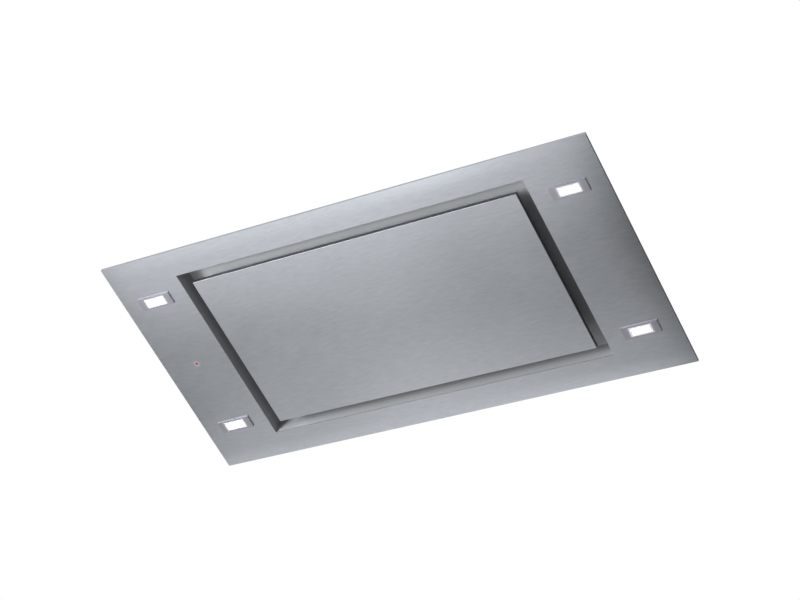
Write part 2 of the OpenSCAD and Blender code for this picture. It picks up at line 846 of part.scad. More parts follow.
module suspension_brackets() {
    color("silver") difference() {
        for (sx = [0, 1], sy = [-1, 1]) mirror([sx, 0, 0])
            translate([hanger_web_x, sy * rod_pitch_w / 2 - hanger_w / 2, cover_top]) {
                translate([-hanger_foot - hanger_t, 0, 0])
                    cube([hanger_foot + hanger_t, hanger_w, hanger_t]);
                translate([-hanger_t, 0, 0]) cube([hanger_t, hanger_w, hanger_h]);
                translate([-hanger_t, 0, hanger_h - hanger_t])
                    cube([hanger_arm + hanger_t, hanger_w, hanger_t]);
            }
        corners(rod_pitch_l / 2, rod_pitch_w / 2) rod_slot();
        at_hanger_bolts() bolt_hole();
    }
}

// The slot for one hanging rod, cut from above the arm into the room below it
module rod_slot() {
    run = rod_slot_l - rod_slot_w;
    translate([0, 0, cover_top + hanger_h - 2 * hanger_t]) {
        block([run, rod_slot_w, 3 * hanger_t], 0);
        for (s = [-1, 1])
            translate([s * run / 2, 0, 0]) cylinder(r = rod_slot_w / 2, h = 3 * hanger_t);
    }
}

module sheet_screws() {
    color("silver") {
        at_cover_screws() screw();
        at_scroll_screws(motor_plate_z + plate_t) screw();
        at_scroll_screws(inlet_plate_z) rotate([180, 0, 0]) screw();
        at_nozzle_screws() screw();
        at_stator_screws() screw();
        at_collar_screws() screw();
        at_foot_screws() screw();
        at_cover_top_screws() screw();
    }
}

module hex_bolts() {
    color("silver") {
        at_hanger_bolts() bolt_and_nut(hanger_t + housing_t);
        at_mount_bolts() bolt_and_nut(housing_t + mount_h + plate_t);
    }
}

// Blower

// Radius of the scroll at angle a, which grows steadily from the tongue to the outlet
function spiral_r(a) = scroll_r0 + (scroll_end_r - scroll_r0) * (a - tongue_a(0)) / (360 - tongue_a(0));

// Angle at which an outline that lies d outside the scroll meets the inner wall of its outlet
function tongue_a(d) = acos((tongue_x - d) / (scroll_r0 + d));

// Outline of the scroll and its outlet, d outside the inner face, with the outlet open to y = end
function scroll_outline(d, end) = concat(
    [for (i = [0:spiral_steps])
        let (a = tongue_a(d) + (360 - tongue_a(d)) * i / spiral_steps)
        (spiral_r(a) + d) * [cos(a), sin(a)]],
    [[scroll_end_r + d, end], [tongue_x - d, end]]);

// A plate in the shape of the scroll, d outside its inner face
module scroll_plate(d, end, h, z) {
    translate([fan_x, fan_y, z]) linear_extrude(h) polygon(scroll_outline(d, end));
}

module scroll_wrap() {
    color("lightgray") difference() {
        union() {
            scroll_plate(scroll_t, mouth_y, scroll_h, scroll_z);
            scroll_plate(scroll_rim, mouth_y, scroll_t, scroll_z);
            scroll_plate(scroll_rim, mouth_y, scroll_t, scroll_z + scroll_h - scroll_t);
            translate([0, wall_in_y - scroll_t / 2, 0]) block([mouth_l, scroll_t, scroll_h], scroll_z);
        }
        scroll_plate(0, mouth_y + over, scroll_h + 2 * over, scroll_z - over);
        at_scroll_screws(motor_plate_z) screw_hole();
        at_scroll_screws(scroll_z) screw_hole();
    }
}

module motor_plate() {
    color("lightgray") difference() {
        scroll_plate(scroll_rim, mouth_y, plate_t, motor_plate_z);
        at_scroll_screws(motor_plate_z) screw_hole();
        at_stator_screws() screw_hole();
        at_mount_bolts() bolt_hole();
    }
}

module inlet_plate() {
    color("lightgray") difference() {
        scroll_plate(scroll_rim, mouth_y, plate_t, inlet_plate_z);
        translate([fan_x, fan_y, inlet_plate_z - over])
            cylinder(r = nozzle_mid_r + over, h = plate_t + 2 * over, $fn = 96);
        at_scroll_screws(scroll_z) screw_hole();
        at_nozzle_screws() screw_hole();
    }
}

// The inlet nozzle: a flat flange that curves up into the throat of the impeller
module inlet_nozzle() {
    low = inlet_plate_z - scroll_t;
    color("dimgray") difference() {
        translate([fan_x, fan_y, 0]) rotate_extrude($fn = 96) {
            translate([nozzle_mid_r, low]) square([nozzle_flange, scroll_t]);
            intersection() {
                translate([nozzle_mid_r, inlet_plate_z + nozzle_curve]) difference() {
                    circle(r = nozzle_curve + scroll_t);
                    circle(r = nozzle_curve);
                }
                translate([nozzle_r - 2 * scroll_t, low])
                    square([nozzle_curve + 2 * scroll_t, nozzle_curve + scroll_t]);
            }
        }
        at_nozzle_screws() screw_hole();
    }
}

module rubber_mounts() {
    color("dimgray") difference() {
        at_mount_bolts() translate([0, 0, -housing_t - mount_h]) cylinder(r = mount_r, h = mount_h);
        at_mount_bolts() bolt_hole();
    }
}

// One forward-curved blade, as a flat outline on the X axis
module blade_outline() {
    mid = impeller_r - blade_d / 2;
    intersection() {
        difference() {
            circle(r = impeller_r - blade_t / 2, $fn = 96);
            circle(r = blade_in_r + blade_t / 2, $fn = 96);
        }
        translate([mid, blade_curve]) difference() {
            circle(r = blade_curve + blade_t);
            circle(r = blade_curve);
        }
        translate([blade_in_r - over, -2 * blade_t]) square([blade_d + 2 * over, blade_curve]);
    }
}

module impeller() {
    hole = rotor_r + 2 * hole_gap;
    color("lightslategray") translate([fan_x, fan_y, 0]) difference() {
        union() {
            translate([0, 0, impeller_z + blade_t / 2]) linear_extrude(blade_l)
                for (i = [0:blade_count - 1]) rotate(360 * i / blade_count) blade_outline();
            translate([0, 0, impeller_top - blade_t]) cylinder(r = impeller_r, h = blade_t, $fn = 96);
            translate([0, 0, impeller_z]) difference() {
                cylinder(r = impeller_r, h = blade_t, $fn = 96);
                translate([0, 0, -over]) cylinder(r = blade_in_r, h = blade_t + 2 * over, $fn = 96);
            }
        }
        translate([0, 0, impeller_top - 2 * blade_t]) cylinder(r = hole, h = 4 * blade_t, $fn = 96);
        at_rotor_screws(impeller_top) screw_hole();
    }
}

// The children at each screw between the impeller and the rotor, at level z
module at_rotor_screws(z) {
    for (a = [0:90:270]) rotate([0, 0, a]) translate([rotor_screw_r, 0, z]) children();
}

module impeller_screws() {
    color("silver") translate([fan_x, fan_y, 0]) at_rotor_screws(rotor_top) screw();
}

// Motor

module rotor_cup() {
    flange_t = rotor_top - impeller_top;
    color("dimgray") translate([fan_x, fan_y, 0]) difference() {
        union() {
            translate([0, 0, rotor_z]) cylinder(r = rotor_r, h = rotor_h, $fn = 96);
            translate([0, 0, impeller_top]) cylinder(r = rotor_r + rotor_flange, h = flange_t, $fn = 96);
        }
        difference() {
            translate([0, 0, rotor_z + rotor_floor]) cylinder(r = rotor_in_r, h = rotor_h, $fn = 96);
            translate([0, 0, rotor_z]) cylinder(r = hub_r, h = rotor_floor + hub_h);
        }
        translate([0, 0, rotor_z - over]) cylinder(r = shaft_r + press_gap, h = rotor_h);
        at_rotor_screws(rotor_top) screw_hole();
    }
}

module rotor_magnets() {
    outer = rotor_in_r - hole_gap;
    h = core_h + 2 * rotor_magnet_over;
    color("gray") translate([fan_x, fan_y, stator_z - rotor_magnet_over]) difference() {
        cylinder(r = outer, h = h, $fn = 96);
        translate([0, 0, -over]) cylinder(r = outer - rotor_magnet_t, h = h + 2 * over, $fn = 96);
    }
}

module motor_shaft() {
    color("silver") translate([fan_x, fan_y, rotor_z]) cylinder(r = shaft_r, h = shaft_top - rotor_z);
}

module motor_bearings() {
    color("silver") for (z = [tube_z + bearing_inset, shaft_top - bearing_w - bearing_inset])
        translate([fan_x, fan_y, z]) difference() {
            cylinder(r = bearing_r - press_gap, h = bearing_w);
            translate([0, 0, -over]) cylinder(r = shaft_r + run_gap, h = bearing_w + 2 * over);
        }
}

module stator_flange() {
    color("lightgray") difference() {
        translate([fan_x, fan_y, 0]) difference() {
            union() {
                translate([0, 0, stator_top]) cylinder(r = stator_disc_r, h = stator_disc_h, $fn = 96);
                translate([0, 0, tube_z]) cylinder(r = tube_r, h = motor_plate_z - tube_z);
            }
            translate([0, 0, tube_z - over]) cylinder(r = bearing_r, h = shaft_top - tube_z + over);
            translate([0, 0, tube_z]) cylinder(r = shaft_r + over, h = shaft_top - tube_z + over);
        }
        at_stator_screws() screw_hole();
    }
}

module stator_core() {
    pitch = 360 / tooth_count;
    color("slategray") translate([fan_x, fan_y, stator_z]) linear_extrude(core_h) difference() {
        union() {
            circle(r = tube_r + core_ring, $fn = 96);
            for (i = [0:tooth_count - 1]) rotate(i * pitch) translate([tube_r, -tooth_w / 2])
                square([stator_r - tube_r - tip_d / 2, tooth_w]);
            difference() {
                circle(r = stator_r, $fn = 96);
                circle(r = stator_r - tip_d, $fn = 96);
                for (i = [0:tooth_count - 1]) rotate((i + 0.5) * pitch) translate([0, -tip_gap / 2])
                    square([stator_r + over, tip_gap]);
            }
        }
        circle(r = tube_r + run_gap, $fn = 96);
    }
}

module stator_coils() {
    pitch = 360 / tooth_count;
    hole = tooth_w + 2 * hole_gap;
    depth = coil_out_r - coil_in_r;
    color("peru") translate([fan_x, fan_y, stator_z]) for (i = [0:tooth_count - 1])
        rotate([0, 0, i * pitch]) translate([coil_in_r + depth / 2, 0, 0]) difference() {
            block([depth, 2 * coil_half, core_h + 2 * coil_over], -coil_over);
            block([depth + 2 * over, hole, core_h + 2 * hole_gap], -hole_gap);
        }
}

// Air outlet

// The children on the outlet axis, which runs along Y through y = 0
module on_outlet(y) {
    translate([0, y, outlet_z]) children();
}

// A ring around the outlet axis, from y = 0 towards the duct
module outlet_ring(outer, inner, l) {
    rotate([-90, 0, 0]) difference() {
        cylinder(r = outer, h = l, $fn = 96);
        translate([0, 0, -over]) cylinder(r = inner, h = l + 2 * over, $fn = 96);
    }
}

module outlet_collar() {
    color("dimgray") difference() {
        union() {
            on_outlet(collar_y) outlet_ring(duct_r + collar_w, duct_in_r, collar_t);
            on_outlet(collar_y) outlet_ring(duct_r, duct_in_r, collar_t + duct_l);
            on_outlet(ledge_y) outlet_ring(duct_in_r + duct_t / 2, duct_in_r - ledge_w, ledge_t);
            on_outlet(flap_y) intersection() {
                for (s = [-1, 1]) translate([-boss_w / 2, -boss_w / 2, s * duct_in_r - boss_h])
                    cube([boss_w, boss_w, 2 * boss_h]);
                translate([0, -boss_w / 2, 0]) rotate([-90, 0, 0])
                    cylinder(r = duct_in_r + duct_t / 2, h = boss_w, $fn = 96);
            }
        }
        on_outlet(flap_y) cylinder(r = flap_pin_r + run_gap, h = 2 * duct_in_r - 2 * seat, center = true);
        at_collar_screws() screw_hole();
        at_collar_screws() cylinder(r = screw_head_r + hole_gap, h = collar_t);
    }
}

// One half-round flap, s = -1 for the left flap and 1 for the right one
module flap(s) {
    color("gainsboro") on_outlet(flap_y) difference() {
        union() {
            intersection() {
                rotate([90, 0, 0]) cylinder(r = flap_r, h = flap_t, center = true, $fn = 96);
                translate([s * (flap_start + flap_r) / 2, 0, 0])
                    block([flap_r - flap_start, flap_t, 2 * flap_r], -flap_r);
            }
            translate([s * (flap_start + over) / 2, 0, 0])
                block([flap_start + over, flap_t, knuckle_end - knuckle_start], flap_low(s));
            translate([0, 0, flap_low(s)]) cylinder(r = knuckle_r, h = knuckle_end - knuckle_start);
        }
        for (t = [-1, 1])
            block([2 * flap_notch_x, 2 * flap_t, 2 * boss_h], t * (flap_notch_z + boss_h) - boss_h);
        cylinder(r = flap_pin_r + run_gap, h = 2 * duct_r, center = true);
    }
}

// Lowest level of the knuckle of flap s, from the outlet axis: the right flap has the upper knuckle
function flap_low(s) = s > 0 ? knuckle_start : -knuckle_end;

module flap_pin() {
    color("silver") on_outlet(flap_y) cylinder(r = flap_pin_r, h = 2 * duct_in_r - 4 * seat, center = true);
}

// A point of the closing spring, one tube wound around the pin
function spring_point(i, j) =
    let (a = 360 * spring_turns * i / spring_rings, b = 360 * j / spring_sides)
    let (r = spring_r + wire_r * cos(b))
    [r * cos(a), r * sin(a), (i / spring_rings - 0.5) * (spring_l - 2 * wire_r) + wire_r * sin(b)];

// Least gap between one turn of the spring and the next
spring_gap = min([
    for (i = [0:spring_rings - spring_step], j = [0:spring_sides - 1], k = [0:spring_sides - 1])
    norm(spring_point(i, j) - spring_point(i + spring_step, k))]);

module flap_spring() {
    echo(spring_gap = spring_gap);
    last = spring_rings * spring_sides;
    points = [for (i = [0:spring_rings], j = [0:spring_sides - 1]) spring_point(i, j)];
    sides = [for (i = [0:spring_rings - 1], j = [0:spring_sides - 1])
        let (k = (j + 1) % spring_sides, a = i * spring_sides, b = a + spring_sides)
        [a + j, b + j, b + k, a + k]];
    ends = [[for (j = [0:spring_sides - 1]) j], [for (j = [spring_sides - 1:-1:0]) last + j]];
    color("silver") on_outlet(flap_y) polyhedron(points, concat(sides, ends));
}

// Controls

module control_box() {
    low = cover_z - control_h;
    color("dimgray") translate([control_x, control_y, 0]) difference() {
        union() {
            difference() {
                block([control_l, control_w, control_h], low);
                block([control_l - 2 * control_t, control_w - 2 * control_t, control_h], low - control_t);
            }
            corners(control_l / 2 - post_inset_x, control_w / 2 - post_inset_y)
                translate([0, 0, board_z + board_t])
                    cylinder(r = post_r, h = cover_z - board_z - board_t);
            for (s = [-1, 1]) translate([s * (control_l / 2 - fixing_inset), 0, cover_z - screw_l])
                cylinder(r = fixing_r, h = screw_l);
        }
        translate([-control_x, -control_y, 0]) at_cover_top_screws() screw_hole();
    }
}

module control_lid() {
    low = cover_z - control_h;
    inner = [control_l - 2 * control_t - 2 * hole_gap, control_w - 2 * control_t - 2 * hole_gap];
    color("dimgray") translate([control_x, control_y, 0]) {
        block([control_l, control_w, control_t], low - control_t);
        frame(inner, [inner[0] - 2 * control_t, inner[1] - 2 * control_t], 2 * control_t,
            low - control_t / 2);
    }
}

module control_board() {
    color("seagreen") translate([control_x, control_y, 0]) {
        block([control_l - 2 * board_margin, control_w - 2 * board_margin, board_t], board_z);
        for (c = chips) translate([c[0], c[1], 0]) block([c[2], c[3], chip_h], board_z - chip_h);
    }
}

module lamp_driver() {
    color("gainsboro") difference() {
        translate([control_x, driver_y, 0]) block([driver_l, driver_w, driver_h], cover_z - driver_h);
        at_cover_top_screws() screw_hole();
    }
}

module cable_gland() {
    wall = housing_l / 2;
    color("dimgray") translate([wall, control_y, gland_z]) rotate([0, 90, 0]) {
        difference() {
            union() {
                hexagon(gland_flats, gland_nut_l);
                cylinder(r = gland_r + gland_wall, h = gland_out);
                translate([0, 0, -gland_in]) cylinder(r = gland_r, h = gland_in + gland_nut_l);
            }
            translate([0, 0, -gland_in - over]) cylinder(r = cable_r, h = gland_in + gland_out + 2 * over);
        }
        translate([0, 0, -housing_t - gland_nut_l]) difference() {
            hexagon(gland_flats, gland_nut_l);
            translate([0, 0, -over]) cylinder(r = gland_r + run_gap, h = gland_nut_l + 2 * over);
        }
    }
}

module status_lens() {
    color("firebrick") translate([-lamp_x, 0, 0]) {
        translate([0, 0, face_z]) cylinder(r = status_r, h = face_t + lens_flange_h);
        translate([0, 0, back_z]) cylinder(r = lens_flange_r, h = lens_flange_h);
        translate([0, 0, face_z]) rotate_extrude() intersection() {
            translate([0, dome_r - status_h]) circle(r = dome_r);
            translate([0, -status_h]) square([status_r, status_h]);
        }
    }
}

module receiver_housing() {
    color("dimgray") translate([-lamp_x, 0, 0]) difference() {
        block([receiver_l, receiver_w, receiver_h], back_z);
        translate([0, 0, back_z - over])
            cylinder(r = lens_flange_r + status_gap, h = lens_flange_h + seat + over);
    }
}

// Lamps

// A lamp bezel around the window, with the skirt that passes up through the face plate
module lamp_bezel(i) {
    color("silver") translate(lamp_places[i - 1]) difference() {
        union() {
            block([bezel_l, bezel_w, bezel_h], face_z - bezel_h);
            block([skirt_l, skirt_w, skirt_top - face_z], face_z);
        }
        block([window_l, window_w, bezel_h + 2 * over], face_z - bezel_h - over);
        block([pocket_l, pocket_w, skirt_top - lens_seat_z + over], lens_seat_z);
    }
}

// The frosted window of a lamp: its lit face fills the bezel and its flange lies in the pocket
module lamp_lens(i) {
    fit = 2 * hole_gap;
    color("white") translate(lamp_places[i - 1]) {
        block([window_l - fit, window_w - fit, lens_seat_z + lens_t - window_z], window_z);
        block([pocket_l - fit, window_w - fit, lens_t], lens_seat_z);
    }
}

module lamp_boards() {
    color("seagreen") for (p = lamp_places) translate(p)
        block([pocket_l - 2 * seat, pocket_w - 2 * hole_gap, board_t], lamp_board_z);
}

// The heat sink of each lamp: a block inside the skirt, a cap on top of it, and fins
module lamp_bodies() {
    color("silver") for (p = lamp_places) translate(p) {
        block([pocket_l - 2 * seat, pocket_w - 2 * hole_gap, skirt_top - lamp_board_top], lamp_board_top);
        block([skirt_l, skirt_w, sink_cap], skirt_top);
        for (i = [0:fin_count - 1])
            translate([(i / (fin_count - 1) - 0.5) * (skirt_l - fin_t), 0, 0])
                block([fin_t, skirt_w, sink_h], skirt_top + sink_cap / 2);
    }
}

// Two leaf springs on each lamp, from the cap of the heat sink down to the back of the face plate
module lamp_clips() {
    y = skirt_w / 2;
    foot_y = y + clip_reach;
    high = skirt_top + sink_cap;
    color("silver") for (p = lamp_places, s = [0, 180]) translate(p) rotate([0, 0, s])
        translate([clip_w / 2, 0, 0]) rotate([0, -90, 0]) linear_extrude(clip_w) polygon([
            [high, y], [high, y + clip_t], [high - clip_grip / 2, y + clip_t + over],
            [back_z + clip_t, foot_y], [back_z + clip_t, foot_y + clip_foot], [back_z, foot_y + clip_foot],
            [back_z, foot_y - clip_t], [high - clip_grip + over, y + clip_t + hole_gap],
            [high - clip_grip, y]]);
}

face_plate();
face_nuts();
ceiling_seal();
recess_tray();
filter_seat();
filter_magnets();
filter_frame(-1);  // filter_frame_left
filter_frame(1);  // filter_frame_right
filter_mesh(-1);  // filter_mesh_left
filter_mesh(1);  // filter_mesh_right
panel_skin();
panel_back();
hinge_arms();
hinge_brackets();
hinge_pins();
catch_brackets();
catch_magnets();
catch_strikes();
housing_shell();
housing_cover();
suspension_brackets();
sheet_screws();
hex_bolts();
motor_plate();
scroll_wrap();
inlet_plate();
inlet_nozzle();
rubber_mounts();
impeller();
impeller_screws();
rotor_cup();
rotor_magnets();
motor_shaft();
motor_bearings();
stator_flange();
stator_core();
stator_coils();
outlet_collar();
flap(-1);  // flap_left
flap(1);  // flap_right
flap_pin();
flap_spring();
control_box();
control_lid();
control_board();
lamp_driver();
cable_gland();
receiver_housing();
status_lens();
lamp_bezel(1);  // lamp_bezel_1
lamp_bezel(2);  // lamp_bezel_2
lamp_bezel(3);  // lamp_bezel_3
lamp_bezel(4);  // lamp_bezel_4
lamp_lens(1);  // lamp_lens_1
lamp_lens(2);  // lamp_lens_2
lamp_lens(3);  // lamp_lens_3
lamp_lens(4);  // lamp_lens_4
lamp_boards();
lamp_bodies();
lamp_clips();
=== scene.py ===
import json
import math

import bpy
from bpy.props import FloatProperty, FloatVectorProperty, IntProperty, PointerProperty
from mathutils import Matrix, Vector


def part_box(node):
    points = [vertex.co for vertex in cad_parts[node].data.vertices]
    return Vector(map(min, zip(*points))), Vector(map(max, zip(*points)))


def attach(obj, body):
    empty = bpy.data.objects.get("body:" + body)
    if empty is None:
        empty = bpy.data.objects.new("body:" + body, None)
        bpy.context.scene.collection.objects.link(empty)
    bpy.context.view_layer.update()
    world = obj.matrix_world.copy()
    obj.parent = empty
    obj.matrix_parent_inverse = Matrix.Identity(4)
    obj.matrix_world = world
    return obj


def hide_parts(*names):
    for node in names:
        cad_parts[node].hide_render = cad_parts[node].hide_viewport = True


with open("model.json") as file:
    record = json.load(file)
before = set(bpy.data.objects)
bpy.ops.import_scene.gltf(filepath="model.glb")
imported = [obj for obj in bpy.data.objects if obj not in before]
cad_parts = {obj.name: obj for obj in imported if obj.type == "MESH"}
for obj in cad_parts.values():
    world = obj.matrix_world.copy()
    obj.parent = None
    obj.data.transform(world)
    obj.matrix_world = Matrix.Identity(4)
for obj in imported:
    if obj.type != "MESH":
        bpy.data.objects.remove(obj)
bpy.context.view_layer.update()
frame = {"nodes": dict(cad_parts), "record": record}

bl_info = {
    "name": "Ceiling hood dressing",
    "version": (1, 0, 0),
    "blender": (4, 5, 0),
    "location": "3D View > Sidebar > Hood",
    "description": "Dresses the frame of a ceiling hood with its sheets, filters, lamps and finishes",
    "category": "Add Mesh",
}

MM = 0.001


def middle_of(node):
    """The middle of a node's box."""
    return tuple((low + high) / 2 for low, high in zip(*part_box(node)))


FACE_LOW, FACE_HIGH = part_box("face_plate")
TRAY_LOW, TRAY_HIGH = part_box("recess_tray")
PANEL_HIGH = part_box("panel_skin")[1]
HOUSING_LOW, HOUSING_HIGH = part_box("housing_shell")
LAMP_PLACE, STATUS_PLACE = middle_of("lamp_bezel_3")[:2], middle_of("status_lens")
SLOT_OF = {part["node"]: part["material_slot"] for part in frame["record"]["subparts"]}
BODY_OF = {node: body for body, nodes in frame["record"]["behaviour"]["bodies"].items() for node in nodes}

# Merging and rounding of the copies, with angles in degrees
MERGE_GAP = 0.002 * MM
FLAT_ANGLE, SHARP_ANGLE, SMOOTH_ANGLE = 0.4, 40.0, 35.0
TORN_SHARE = 1.002
WINDOW_ROUND, HEAT_SINK_ROUND, BOLT_CHAMFER = 0.3 * MM, 0.2 * MM, 0.4 * MM

# Screws: corners that agree to 0.01 mm are one, and the furthest out are the head's
STEPS_PER_METRE = 1e5
HEAD_SHARE = 0.4
HEAD_HEIGHT, HEAD_ROUND, SHANK_RADIUS = 2.0 * MM, 0.7 * MM, 1.9 * MM
CROSS_LONG, CROSS_WIDE = 1.1, 0.24

# Spot welds, their rows' distances from the housing's corners and foot, and how many are in a row
WELD_RADIUS, WELD_DEPTH, WELD_RISE, WELD_RIM, WELD_DIP = 2.6 * MM, 0.7 * MM, 0.25 * MM, 0.9 * MM, 0.12 * MM
WELD_INSET, WELD_FOOT, WELD_START = 12.0 * MM, 20.0 * MM, 60.0 * MM
WELDS_UP, WELDS_LONG, WELDS_SHORT = 5, 9, 4

# How much of their width strands share where they meet
STRAND_OVERLAP = 0.35

# The ceiling board's height above the face, its gap around the housing, its bright side's fade, its
# level in what mirrors it from above, and the floor's added level to the eye
CEILING_HEIGHT, CEILING_GAP, CEILING_FADE = 0.3 * MM, 1.0 * MM, 10.0 * MM
CEILING_BACK, FLOOR_SEEN = 0.45, 0.55

# From where to where the painted glow on the face and on the bezels, and the window's light, fade along X
# and along Y, from the middle of a lamp
FACE_PAINTED_GLOW = (10.0 * MM, 60.0 * MM), (0.0, 34.0 * MM)
BEZEL_PAINTED_GLOW = (21.0 * MM, 28.0 * MM), (9.5 * MM, 13.0 * MM)
WINDOW_LIT = (13.5 * MM, 20.0 * MM), (4.6 * MM, 9.0 * MM)
WINDOW_RAGGED = 22.0 * MM

# The same from the middle of the status light: its lens's rim, and the face's painted shade, painted glow
# and tint
LENS_RIM, STATUS_PAINTED_SHADE = (0.9 * MM, 1.9 * MM), (2.4 * MM, 3.8 * MM)
STATUS_PAINTED_GLOW, STATUS_TINT = (3.0 * MM, 9.0 * MM), (10.0 * MM, 14.0 * MM)

# How far in from the face's edges its crown starts, and its depth at them
CROWN_X, CROWN_Y = 70.0 * MM, 30.0 * MM
CROWN_DEPTH_X, CROWN_DEPTH_Y = 0.6 * MM, 1.0 * MM

# The face's right end with painted shade, less dark towards its corners
END_LENGTH, END_CORNER = 80.0 * MM, 60.0 * MM
END_PAINTED_SHADE, CORNER_SHADE_EASING = 0.34, 0.27

# The panel's folds, the margin around it, and how much painted shade its right fold gets and how much
# painted highlight its near fold gets
FOLD_IN, FOLD_OUT, PANEL_MARGIN = 0.9 * MM, 0.1 * MM, (3.0 * MM, 8.0 * MM)
FOLD_PAINTED_SHADE, FOLD_PAINTED_HIGHLIGHT = 0.65, 0.40

# The painted shade's start on the recess walls, its end below the recess ceiling, and the collar above that
PAINTED_SHADE_FOOT, PAINTED_SHADE_TOP, TRAY_COLLAR = (2.0 * MM, 24.0 * MM), (2.0 * MM, 0.4 * MM), 10.0 * MM

# Pitches of the core's sheets, the coils' wire and the circuit boards' pattern
LAMINATION, WIRE_PITCH, BOARD_PITCH = 0.5 * MM, 0.7 * MM, 7.6 * MM

# The colour sockets of a Mix node, whose names aren't unique
MIX_LOW, MIX_HIGH, MIX_RESULT = 6, 7, 2
WHITE = (1.0, 1.0, 1.0)


# Settings that a user would change

class HoodStageSettings(bpy.types.PropertyGroup):
    """The camera, the floor and the light of the studio."""

    camera_place: FloatVectorProperty(
        name="Camera place", description="Where the camera stands", default=(1.7342, -1.7844, -2.8493),
        subtype="TRANSLATION", unit="LENGTH")
    camera_azimuth: FloatProperty(
        name="Azimuth", description="Turn of the camera around the hood", default=math.radians(44.06),
        subtype="ANGLE")
    camera_elevation: FloatProperty(
        name="Elevation", description="Height angle of the camera", default=math.radians(-49.29),
        subtype="ANGLE")
    camera_roll: FloatProperty(
        name="Roll", description="Roll of the picture", default=math.radians(21.95), subtype="ANGLE")
    focal_length: FloatProperty(
        name="Focal length", description="Focal length in millimetres", default=93.76, min=10.0)
    floor_drop: FloatProperty(
        name="Floor drop", description="Height of the floor below the ceiling", default=4.45,
        unit="LENGTH")
    floor_size: FloatProperty(
        name="Floor size", description="Side of the floor", default=12.0, unit="LENGTH")
    ceiling_size: FloatProperty(
        name="Ceiling size", description="Side of the ceiling board", default=7.0, unit="LENGTH")
    floor_colour: FloatVectorProperty(
        name="Floor colour", description="Colour of the plain floor", default=(0.60, 0.60, 0.60),
        subtype="COLOR")
    air_level: FloatProperty(
        name="Air level", description="Light that comes from all sides", default=0.18, min=0.0)
    ceiling_level: FloatProperty(
        name="Ceiling level", description="Light of the ceiling in what mirrors it", default=0.16,
        min=0.0)


class HoodFinishSettings(bpy.types.PropertyGroup):
    """The colours of the sheets and mouldings."""

    steel: FloatVectorProperty(
        name="Brushed steel", description="Colour of the brushed face", default=(0.490, 0.514, 0.551),
        subtype="COLOR")
    steel_roughness: FloatProperty(
        name="Steel roughness", description="Roughness of the brushed face", default=0.30, min=0.0,
        max=1.0)
    satin: FloatVectorProperty(
        name="Satin steel", description="Colour of the recess and the panel's back",
        default=(0.365, 0.378, 0.395), subtype="COLOR")
    zinc: FloatVectorProperty(
        name="Zinc sheet", description="Colour of the zinc-coated housing", default=(0.52, 0.545, 0.56),
        subtype="COLOR")
    plated: FloatVectorProperty(
        name="Zinc plating", description="Colour of brackets and screws", default=(0.60, 0.62, 0.64),
        subtype="COLOR")
    aluminium: FloatVectorProperty(
        name="Aluminium", description="Colour of the filter meshes", default=(0.62, 0.63, 0.64),
        subtype="COLOR")
    black: FloatVectorProperty(
        name="Black plastic", description="Colour of the black mouldings", default=(0.028, 0.029, 0.031),
        subtype="COLOR")
    grey: FloatVectorProperty(
        name="Grey plastic", description="Colour of the grey mouldings", default=(0.26, 0.27, 0.28),
        subtype="COLOR")
    window_light: FloatVectorProperty(
        name="Lamp light", description="Colour of the lit windows", default=(1.0, 0.985, 0.97),
        subtype="COLOR")
    status_light: FloatVectorProperty(
        name="Status light", description="Colour of the status light", default=(0.75, 0.02, 0.04),
        subtype="COLOR")


class HoodDetailSettings(bpy.types.PropertyGroup):
    """The small shapes that the frame leaves to the dressing."""

    sheet_round: FloatProperty(
        name="Sheet edge", description="Rounding along the folds of the sheets", default=0.35 * MM,
        unit="LENGTH")
    fold_round: FloatProperty(
        name="Face fold", description="Rounding along the folds of the face plate", default=0.7 * MM,
        unit="LENGTH")
    bezel_round: FloatProperty(
        name="Bezel edge", description="Rounding of the lamp bezels", default=0.5 * MM, unit="LENGTH")
    moulding_round: FloatProperty(
        name="Moulding edge", description="Rounding of the mouldings", default=0.6 * MM, unit="LENGTH")
    cell_l: FloatProperty(
        name="Cell length", description="Length of a cell in the mesh", default=9.0 * MM, unit="LENGTH")
    cell_w: FloatProperty(
        name="Cell width", description="Width of a cell in the mesh", default=4.5 * MM, unit="LENGTH")
    strand_w: FloatProperty(
        name="Strand width", description="Width of a strand", default=0.8 * MM, unit="LENGTH")
    strand_t: FloatProperty(
        name="Strand thickness", description="Thickness of a strand", default=0.6 * MM, unit="LENGTH")
    mesh_layers: IntProperty(
        name="Mesh layers", description="Layers of mesh in a filter", default=3, min=1, max=4)
    weld_pitch: FloatProperty(
        name="Weld pitch", description="Pitch of the spot welds", default=46.0 * MM, unit="LENGTH")
    recess_depth: FloatProperty(
        name="Cross recess", description="Depth of the cross recess", default=1.1 * MM, unit="LENGTH")


# Modelling helpers

def put_down():
    """Leaves edit mode and lets go of everything."""
    if bpy.context.object and bpy.context.object.mode != "OBJECT":
        bpy.ops.object.mode_set(mode="OBJECT")
    bpy.ops.object.select_all(action="DESELECT")


def take(piece):
    """Makes a piece the only selected and active one."""
    put_down()
    piece.select_set(True)
    bpy.context.view_layer.objects.active = piece


def choose(piece, test=lambda part: True, kind="FACE"):
    """Selects the faces, edges or corners that pass a test, or all of them, and stays in edit mode."""
    take(piece)
    bpy.ops.object.mode_set(mode="EDIT")
    bpy.ops.mesh.select_mode(type=kind)
    bpy.ops.mesh.select_all(action="DESELECT")
    bpy.ops.object.mode_set(mode="OBJECT")
    parts = {"FACE": piece.data.polygons, "EDGE": piece.data.edges, "VERT": piece.data.vertices}[kind]
    for part in parts:
        part.select = bool(test(part))
    bpy.ops.object.mode_set(mode="EDIT")


def set_place(piece):
    """Moves a piece's place into its mesh."""
    take(piece)
    bpy.ops.object.transform_apply(location=True, rotation=True, scale=True)


